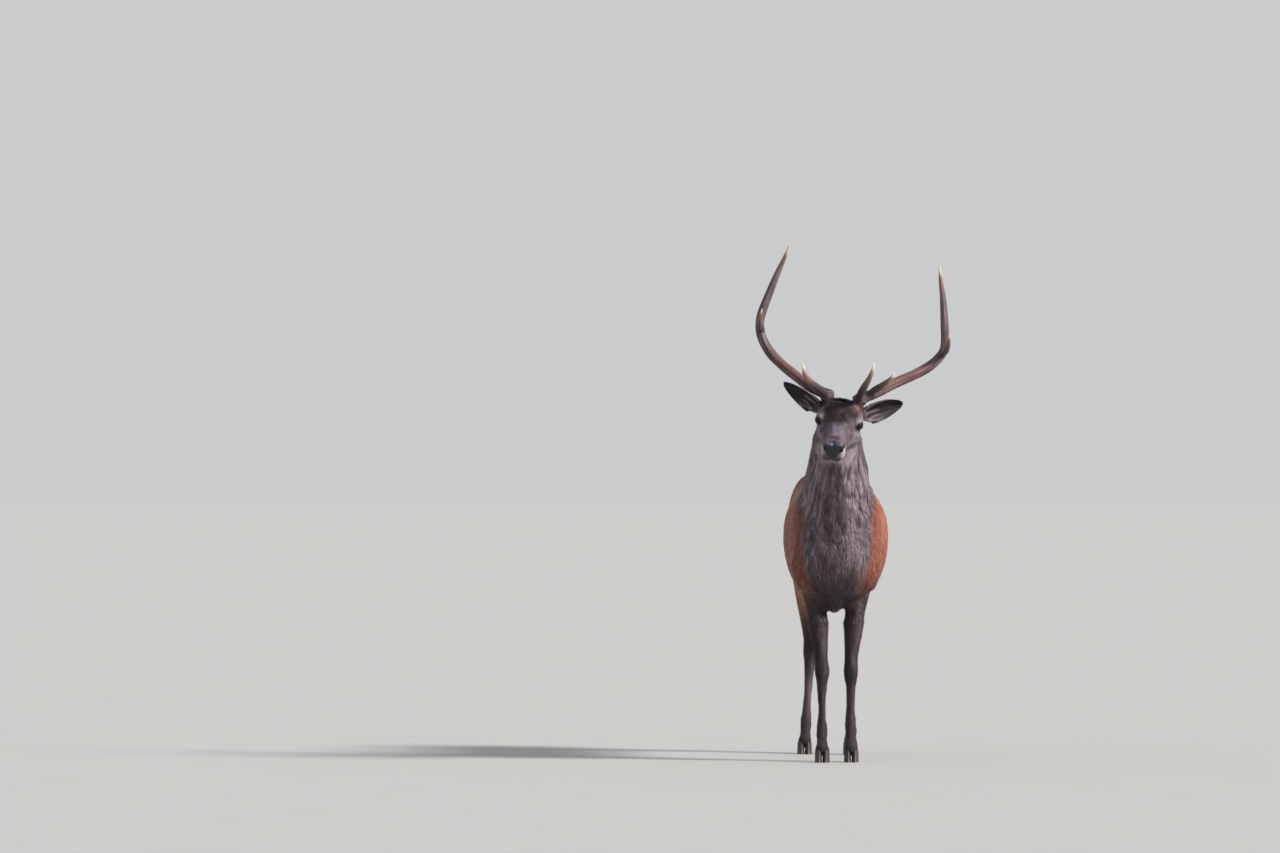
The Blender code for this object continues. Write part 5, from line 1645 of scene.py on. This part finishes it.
def antler(side_name):
    """One antler, beam and tines grown together: grooved along, pearled near the burr, bare at the tips."""
    tables = {"beam": BEAMS[side_name]}
    tables.update({name: rows for name, rows in TINES.items() if name.endswith(side_name)})
    made = fuse(joined("antler", [rod(name, rows) for name, rows in tables.items()]), ANTLER_VOXEL, 3)
    p, n = points_of(made), normals_of(made)
    lines = [centreline(rows) for rows in tables.values()]
    owner = np.concatenate([np.full(len(line[0]), i) for i, line in enumerate(lines)])
    path, side, other, distance, share, radius = (np.concatenate(values) for values in zip(*lines))
    tree = KDTree(len(path))
    for i, q in enumerate(path):
        tree.insert(q, i)
    tree.balance()
    near = np.array([tree.find(q)[1] for q in p.tolist()])
    out = p - path[near]
    turn = np.arctan2((out * other[near]).sum(1), (out * side[near]).sum(1))
    along, part, thick, on_beam = distance[near], share[near], radius[near], owner[near] == 0
    round_it = np.stack([0.018 * np.cos(turn), 0.018 * np.sin(turn), 0.10 * along + 0.3 * owner[near]], 1)
    grooves = wobble(round_it, waves(61, 0.0105, 18))
    coarse = wobble(round_it, waves(62, 0.0230, 12))
    bare = np.where(on_beam, ramp(part, 0.80, 0.97), ramp(part, 0.45, 0.85))
    pearls = np.clip(wobble(p, waves(63, 0.0085, 20)) - 0.55, 0, 1.6)
    low = np.where(on_beam, ramp(along, 0.42, 0.05), 0.55 * ramp(along, 0.10, 0.02))
    burr_place = np.linalg.norm(np.array(BEAMS[side_name][1][:3]) - np.array(BEAMS[side_name][0][:3]))
    burr = on_beam * np.exp(-(((along - burr_place) / 0.0060) ** 2))
    knobs = 0.58 + 0.24 * np.sin(17 * turn) + 0.20 * np.sin(11 * turn + 1.3)
    slim = np.clip(thick / 0.018, 0.15, 1)
    height = (GROOVE_DEPTH * grooves + FURROW_DEPTH * coarse) * slim * (1 - 0.85 * bare)
    height = height + PEARL_HEIGHT * pearls * low * slim
    set_points(made, p + n * (height + BURR_REACH * burr * knobs)[:, None])
    ridge = ramp(grooves * 0.6 + coarse * 0.3 + 1.3 * pearls * low, -0.9, 1.1)
    colour = np.tile(linear(ANTLER_BROWN), (len(p), 1))
    for name, covers in (
        (ANTLER_RED, 0.8 * on_beam * ramp(along, 0.06, 0.16) * ramp(along, 0.42, 0.25)),
        (ANTLER_DARK, 0.65 * np.maximum(ramp(along, 0.11, 0.02), (~on_beam) * ramp(part, 0.55, 0.25))),
        (ANTLER_DARK, 0.35 * ramp(coarse, 0.1, 1.2)),
        (ANTLER_PALE, 0.8 * on_beam * ramp(part, 0.62, 0.85)),
        (TINE_TAN, 0.8 * np.where(on_beam, ramp(part, 0.84, 0.93), ramp(part, 0.52, 0.82))),
        (IVORY, np.where(on_beam, ramp(part, 0.93, 0.98), ramp(part, 0.82, 0.95))),
    ):
        colour = painted(colour, name, covers)
    ridge = ridge + (0.5 - ridge) * bare
    place(made, antler_axes(SIDES[side_name]))
    return dress(made, ANTLER_HORN, colour, ridge=ridge)


# ---- eyes and lashes -----------------------------------------------------------------------------
STIFF_HAIR_RADIUS, STIFF_HAIR_STRETCHES = 0.0003, 4
# Upper and lower lashes: from and to which turn in degrees, how many, the lid's height as share of its reach,
# length, and how much they rise or droop.
LASH_ROWS = ((18, 162, 56, 0.56, 0.0105, -0.35), (205, 335, 26, 0.43, 0.0050, 0.20))
LASH_REACH, LASH_SPHERE, LASH_SEED = 0.0158, 0.0188, 71  # half the row's length, and the ball it lies on
WHISKERS, WHISKER_SEED = 76, 72
WHISKER_LENGTHS = (0.012, 0.034)
IRIS_BROWN, PUPIL, EYE_WHITE = "1F120E", "050407", "3E302D"
PUPIL_REACH, PUPIL_RISE, CORNEA_BULGE = 0.50, 0.30, 0.085  # as shares of the eye's radius


def eye(side_name):
    """The eyeball with its cornea: a wide level pupil in a dark brown iris."""
    made = ball("eye", Matrix.Identity(4), rings=40, sides=56)
    p = unit(points_of(made))
    off = np.degrees(np.arccos(np.clip(p[:, 2], -1, 1)))
    bulge = 1 + CORNEA_BULGE * ramp(off, 52, 20)
    colour = np.tile(linear(EYE_WHITE), (len(p), 1))
    reach = np.hypot(p[:, 0], p[:, 1])
    wide = np.hypot(p[:, 0] / PUPIL_REACH, p[:, 1] / PUPIL_RISE)
    colour = painted(colour, IRIS_BROWN, ramp(reach, 0.80, 0.74))
    colour = painted(colour, PUPIL, ramp(wide, 1.10, 0.85))
    colour = painted(colour, PUPIL, 0.7 * ramp(reach, 0.66, 0.78))
    set_points(made, p * (EYE_RADIUS * bulge)[:, None])
    place(made, eye_axes(SIDES[side_name]))
    return dress(made, WET_EYE, colour)


def hair_tree():
    """Geometry nodes that grow one stiff hair on each point, bent as it says and thinning to the tip."""
    tree = bpy.data.node_groups.new("stiff_hairs", "GeometryNodeTree")
    kinds = {"Roots": "Geometry", "Thickness": "Float", "Stretches": "Int", "Seed": "Int", "Hair": "Material"}
    for name, kind in kinds.items():
        tree.interface.new_socket(name, in_out="INPUT", socket_type="NodeSocket" + kind)
    tree.interface.new_socket("Hairs", in_out="OUTPUT", socket_type="NodeSocketGeometry")
    given = add(tree, "NodeGroupInput").outputs
    known = (("way", "FLOAT_VECTOR"), ("bend", "FLOAT_VECTOR"), ("part", "FLOAT"), ("reach", "FLOAT"))
    way, bend, part, reach = (
        add(tree, "GeometryNodeInputNamedAttribute", {"Name": name}, data_type=kind).outputs[0]
        for name, kind in known
    )
    on_points = {"data_type": "FLOAT", "domain": "POINT"}
    # one hair's points, all at its root, each with its share of the length
    count = add(tree, "ShaderNodeMath", {0: given["Stretches"], 1: 1.0}, operation="ADD").outputs[0]
    line = add(tree, "GeometryNodeMeshLine", {"Count": count, "Offset": (0, 0, 0)}).outputs[0]
    index = add(tree, "GeometryNodeInputIndex").outputs[0]
    share = add(tree, "ShaderNodeMath", {0: index, 1: given["Stretches"]}, operation="DIVIDE").outputs[0]
    shares = {"Geometry": line, "Name": "part", "Value": share}
    line = add(tree, "GeometryNodeStoreNamedAttribute", shares, **on_points).outputs[0]
    # lengths vary from hair to hair
    spread = {2: 0.85, 3: 1.15, "Seed": given["Seed"]}
    chance = add(tree, "FunctionNodeRandomValue", spread, data_type="FLOAT").outputs[1]
    varied = add(tree, "ShaderNodeMath", {0: reach, 1: chance}, operation="MULTIPLY").outputs[0]
    lengths = {"Geometry": given["Roots"], "Name": "reach", "Value": varied}
    roots = add(tree, "GeometryNodeStoreNamedAttribute", lengths, **on_points).outputs[0]
    # a line on every root, made real here because each bends its own way
    hairs = add(tree, "GeometryNodeInstanceOnPoints", {"Points": roots, "Instance": line}).outputs[0]
    hairs = add(tree, "GeometryNodeRealizeInstances", {"Geometry": hairs}).outputs[0]
    # root to tip: (way + bend * part) * part * reach
    bent = add(tree, "ShaderNodeVectorMath", {0: bend, "Scale": part}, operation="SCALE").outputs[0]
    path = add(tree, "ShaderNodeVectorMath", {0: way, 1: bent}, operation="ADD").outputs[0]
    far = add(tree, "ShaderNodeMath", {0: part, 1: reach}, operation="MULTIPLY").outputs[0]
    offset = add(tree, "ShaderNodeVectorMath", {0: path, "Scale": far}, operation="SCALE").outputs[0]
    hairs = add(tree, "GeometryNodeSetPosition", {"Geometry": hairs, "Offset": offset}).outputs[0]
    hairs = add(tree, "GeometryNodeMeshToCurve", {"Mesh": hairs}).outputs[0]
    # round hairs that thin towards the tip
    left = add(tree, "ShaderNodeMath", {0: 1.0, 1: part}, operation="SUBTRACT").outputs[0]
    thin = add(tree, "ShaderNodeMath", {0: left, 1: 0.6}, operation="POWER").outputs[0]
    radius = add(tree, "ShaderNodeMath", {0: thin, 1: given["Thickness"]}, operation="MULTIPLY").outputs[0]
    ring = add(tree, "GeometryNodeCurvePrimitiveCircle", {"Resolution": 3, "Radius": 1.0}).outputs[0]
    tubes = {"Curve": hairs, "Profile Curve": ring, "Scale": radius, "Fill Caps": True}
    hairs = add(tree, "GeometryNodeCurveToMesh", tubes).outputs[0]
    hairs = add(tree, "GeometryNodeMergeByDistance", {"Geometry": hairs, "Distance": 1e-6}).outputs[0]
    hairs = add(tree, "GeometryNodeSetMaterial", {"Geometry": hairs, "Material": given["Hair"]}).outputs[0]
    add(tree, "NodeGroupOutput", {"Hairs": hairs})
    return tree


def stiff_hairs(name, roots, ways, bends, reaches, seed):
    """Single stiff hairs on the given roots, as a plain mesh."""
    holder = mesh_object(name, roots, [])
    carry(holder.data, way=unit(ways), bend=np.array(bends), reach=np.array(reaches))
    modifier = holder.modifiers.new("hairs", "NODES")
    modifier.node_group = HAIR_TREE
    given = {"Thickness": STIFF_HAIR_RADIUS, "Stretches": STIFF_HAIR_STRETCHES}
    given.update({"Seed": seed, "Hair": STIFF_HAIR})
    for item in HAIR_TREE.interface.items_tree:
        if item.name in given:
            modifier[item.identifier] = given[item.name]
    evaluated = holder.evaluated_get(bpy.context.evaluated_depsgraph_get())
    mesh = bpy.data.meshes.new_from_object(evaluated)
    holder.modifiers.clear()
    holder.data = mesh
    for key in ("way", "bend", "reach", "part"):
        mesh.attributes.remove(mesh.attributes[key])
    return holder


def lashes(side_name):
    """Lashes along the upper lid, longest in the middle, and shorter ones below."""
    draw = np.random.default_rng(LASH_SEED)
    roots, ways, bends, lengths = [], [], [], []
    for start, stop, count, opening, length, droop in LASH_ROWS:
        for degrees in np.linspace(start, stop, count):
            turn = math.radians(degrees + draw.normal(0, 1.5))
            c, s = math.cos(turn), math.sin(turn)
            x, y = LASH_REACH * c, LASH_REACH * opening * math.copysign(abs(s) ** LID_CURVE, s)
            roots.append((x, y, math.sqrt(LASH_SPHERE**2 - x * x - y * y)))
            ways.append((0.7 * c + draw.normal(0, 0.08), 0.75 * s, 0.85))
            bends.append((0.10 * c, droop, 0))
            lengths.append(length * (0.55 + 0.45 * abs(s)))
    hairs = stiff_hairs("lashes", roots, np.array(ways), bends, lengths, LASH_SEED)
    made = place(hairs, eye_axes(SIDES[side_name]))
    return dress(made, STIFF_HAIR, np.tile(linear(LID_BLACK), (len(made.data.vertices), 1)))


def whiskers(skin_map):
    """Sparse feeling hairs on lips and chin."""
    draw = np.random.default_rng(WHISKER_SEED)
    h = in_head(skin_map.centres)
    lips = (h[:, 1] < -0.150) & (h[:, 1] > -0.236) & (np.abs(h[:, 0]) > 0.012) & (h[:, 2] < -0.030)
    root, normal = skin_map.roots((lips & (nose_pad(h) < 0.05)).astype(float), WHISKERS, draw)
    way = unit(normal + np.array([0, 0.45, -0.25]) @ HEAD_TURN.T)
    bend = np.tile(np.array([0, 0.16, -0.30]) @ HEAD_TURN.T, (WHISKERS, 1))
    lengths = draw.uniform(*WHISKER_LENGTHS, WHISKERS)
    made = stiff_hairs("whiskers", root, way, bend, lengths, WHISKER_SEED)
    return dress(made, STIFF_HAIR, np.tile(linear(LIP_DARK), (len(made.data.vertices), 1)))


# ---- hooves --------------------------------------------------------------------------------------
def claw(foot, inner):
    """One half of a cloven hoof: a wedge with a flat sole, a pointed toe and a sloping front wall."""
    sides = 40
    turn = np.arange(sides) * 2 * math.pi / sides
    rings = []
    for z, toe, heel, share in smooth_rows(CLAW_RINGS, 7):
        front, back = -HOOF_LENGTH / 2 + toe, HOOF_LENGTH / 2 + heel
        middle, half = (front + back) / 2, (back - front) / 2
        toeward = np.clip(-np.sin(turn), 0, 1) ** 2
        across = share * CLAW_WIDTH / 2 * np.cos(turn)
        inside = across * inner > 0
        narrowing = np.where(inside, INNER_NARROWING, TOE_NARROWING) * toeward
        across = across * np.where(inside, INNER_WALL, 1) * (1 - narrowing)
        ring = 1 + RING_DEPTH * math.sin(z * RING_RATE) * (z > 0.002)
        height = z * (1 - HEEL_DROP * np.clip(np.sin(turn), 0, 1))
        rings.append(np.stack([across * ring, middle + half * np.sin(turn) * ring, height], axis=1))
    stand = Matrix.Translation((foot[0] - inner * CLAW_SPREAD, foot[1], 0))
    return place(loft("claw", rings), stand @ Matrix.Rotation(CLAW_SPLAY * inner, 4, "Z"))


def dewclaw(fetlock, side):
    """A small horn cone behind the fetlock."""
    x, y, z = fetlock[0] + side * 0.0120, fetlock[1] + 0.022, fetlock[2] - 0.022
    rows = (
        (x, y - 0.015, z + 0.014, 0.0080),
        (x + side * 0.001, y - 0.008, z + 0.004, 0.0090),
        (x + side * 0.001, y - 0.007, z - 0.010, 0.0072),
        (x + side * 0.001, y - 0.009, z - 0.019, 0.0034),
    )
    return rod("dewclaw", rows, sides=18, steps=6)


def shoe_all():
    """Every claw and dewclaw, each in place of its own solid."""
    for kind, table, stances in (("fore", FORELEG, FORE_STANCE), ("hind", HINDLEG, HIND_STANCE)):
        for name, side in SIDES.items():
            rows = leg_rows(table, stances[name], side)
            coronet, fetlock, leg = rows[-1], rows[-4], f"{kind}leg_{name}"
            foot = (coronet[0], coronet[1] - CLAW_FORWARD)
            for label, inner in (("a", 1), ("b", -1)):
                for word, made in (("hoof", claw(foot, inner)), ("dewclaw", dewclaw(fetlock, -inner))):
                    node = f"{word}_{leg}_{label}"
                    dress(made, HOOF_HORN)
                    made.data.set_sharp_from_angle(angle=math.radians(50))
                    put(made, node + "_horn", "hoof", node)


# ---- the whole -----------------------------------------------------------------------------------
ANTLER_HORN, WET_EYE, HOOF_HORN = antler_material(), eye_material(), hoof_material()
STIFF_HAIR = hair_material("stiff_lash_hair", 1.0, 1.0, 1.0, 0.40, 0.0)
HAIR_TREE = hair_tree()

flesh_nodes = ["head", "neck", "trunk", "tail", "ear_left", "ear_right"]
for name in SIDES:
    flesh_nodes += [f"foreleg_{name}_{part}" for part in ("upper", "lower")]
    flesh_nodes += [f"hindleg_{name}_{part}" for part in ("thigh", "shank", "lower")]

skin = make_skin()
skin_map = SkinMap(skin)
skin_points = points_of(skin)
skin_head = in_head(skin_points)
lids = ramp(lid_reach(skin_head), 1.55, 1.25)
on_head = beyond(skin_points, THROAT) > 0
bare = np.maximum(ramp(nose_pad(skin_head), 0.2, 0.6), lids) * on_head
dress(skin, skin_material(), marked(skin_points), bare=bare)
make_coat(skin_map)
put(whiskers(skin_map), "muzzle_whiskers", "grey_coat")
put(skin, "skin", "rufous_coat", *flesh_nodes)
for name in SIDES:
    put(eye(name), f"eyeball_{name}", "eye", f"eye_{name}")
    put(lashes(name), f"eyelashes_{name}", "grey_coat")
    nodes = [f"antler_beam_{part}_{name}" for part in ("lower", "upper")]
    nodes += [f"antler_{tine}" for tine in TINES if tine.endswith(name)]
    put(antler(name), f"antler_{name}", "antler", *nodes)
shoe_all()


# ---- floor, light and camera ---------------------------------------------------------------------
FLOOR_REACH = 45.0
floor_corners = [(x * FLOOR_REACH, y * FLOOR_REACH, 0) for x, y in ((-1, -1), (1, -1), (1, 1), (-1, 1))]
floor = mesh_object("floor", floor_corners, [(0, 1, 2, 3)])
dress(floor, floor_material())


def lamp(name, towards, strength, angle, colour):
    """A far lamp as broad as the angle, in degrees, that shines from the given direction."""
    light = bpy.data.lights.new(name, "SUN")
    light.energy, light.angle, light.color = strength, math.radians(angle), linear(colour)
    made = bpy.data.objects.new(name, light)
    bpy.context.scene.collection.objects.link(made)
    made.rotation_euler = Vector(towards).to_track_quat("Z", "Y").to_euler()


# One broad lamp, in front of the stag to its left and a third of the way up, and a pale surround.
lamp("key", (0.82, -0.40, 0.56), 5.6, 12, "FFFAF4")

world = bpy.data.worlds.new("pale_studio")
bpy.context.scene.world = world
world.use_nodes = True
world.node_tree.nodes["Background"].inputs["Color"].default_value = (*linear("EDEEF0"), 1)
world.node_tree.nodes["Background"].inputs["Strength"].default_value = 0.70
bpy.context.scene.view_settings.view_transform = "Standard"

# The camera stands far off, as a long lens does, a little to the stag's right and just above it.
DISTANCE, AZIMUTH, ELEVATION = 60.0, math.radians(-0.75), math.radians(1.0)
FRAME_WIDTH = 5.12  # what the frame spans at the stag, in metres
MIDDLE_ASIDE, MIDDLE_HEIGHT = 0.784, 1.342  # the frame's middle, to the stag's right of its forelegs and up
right = Vector((math.cos(AZIMUTH), math.sin(AZIMUTH), 0))
level_back = Vector((math.sin(AZIMUTH), -math.cos(AZIMUTH), 0))
back = level_back * math.cos(ELEVATION) + Vector((0, 0, math.sin(ELEVATION)))
up = back.cross(right)
target = ORIGIN + Vector((0, -0.40, 0)) - right * MIDDLE_ASIDE + up * MIDDLE_HEIGHT
camera = bpy.data.cameras.new("camera")
camera.sensor_width, camera.clip_end = 36.0, 250.0
camera.lens = camera.sensor_width * DISTANCE / FRAME_WIDTH
eye_point = bpy.data.objects.new("camera", camera)
bpy.context.scene.collection.objects.link(eye_point)
stand = Matrix((right, up, back)).transposed().to_4x4()
eye_point.matrix_world = Matrix.Translation(target + back * DISTANCE) @ stand
bpy.context.scene.camera = eye_point

bpy.context.view_layer.update()
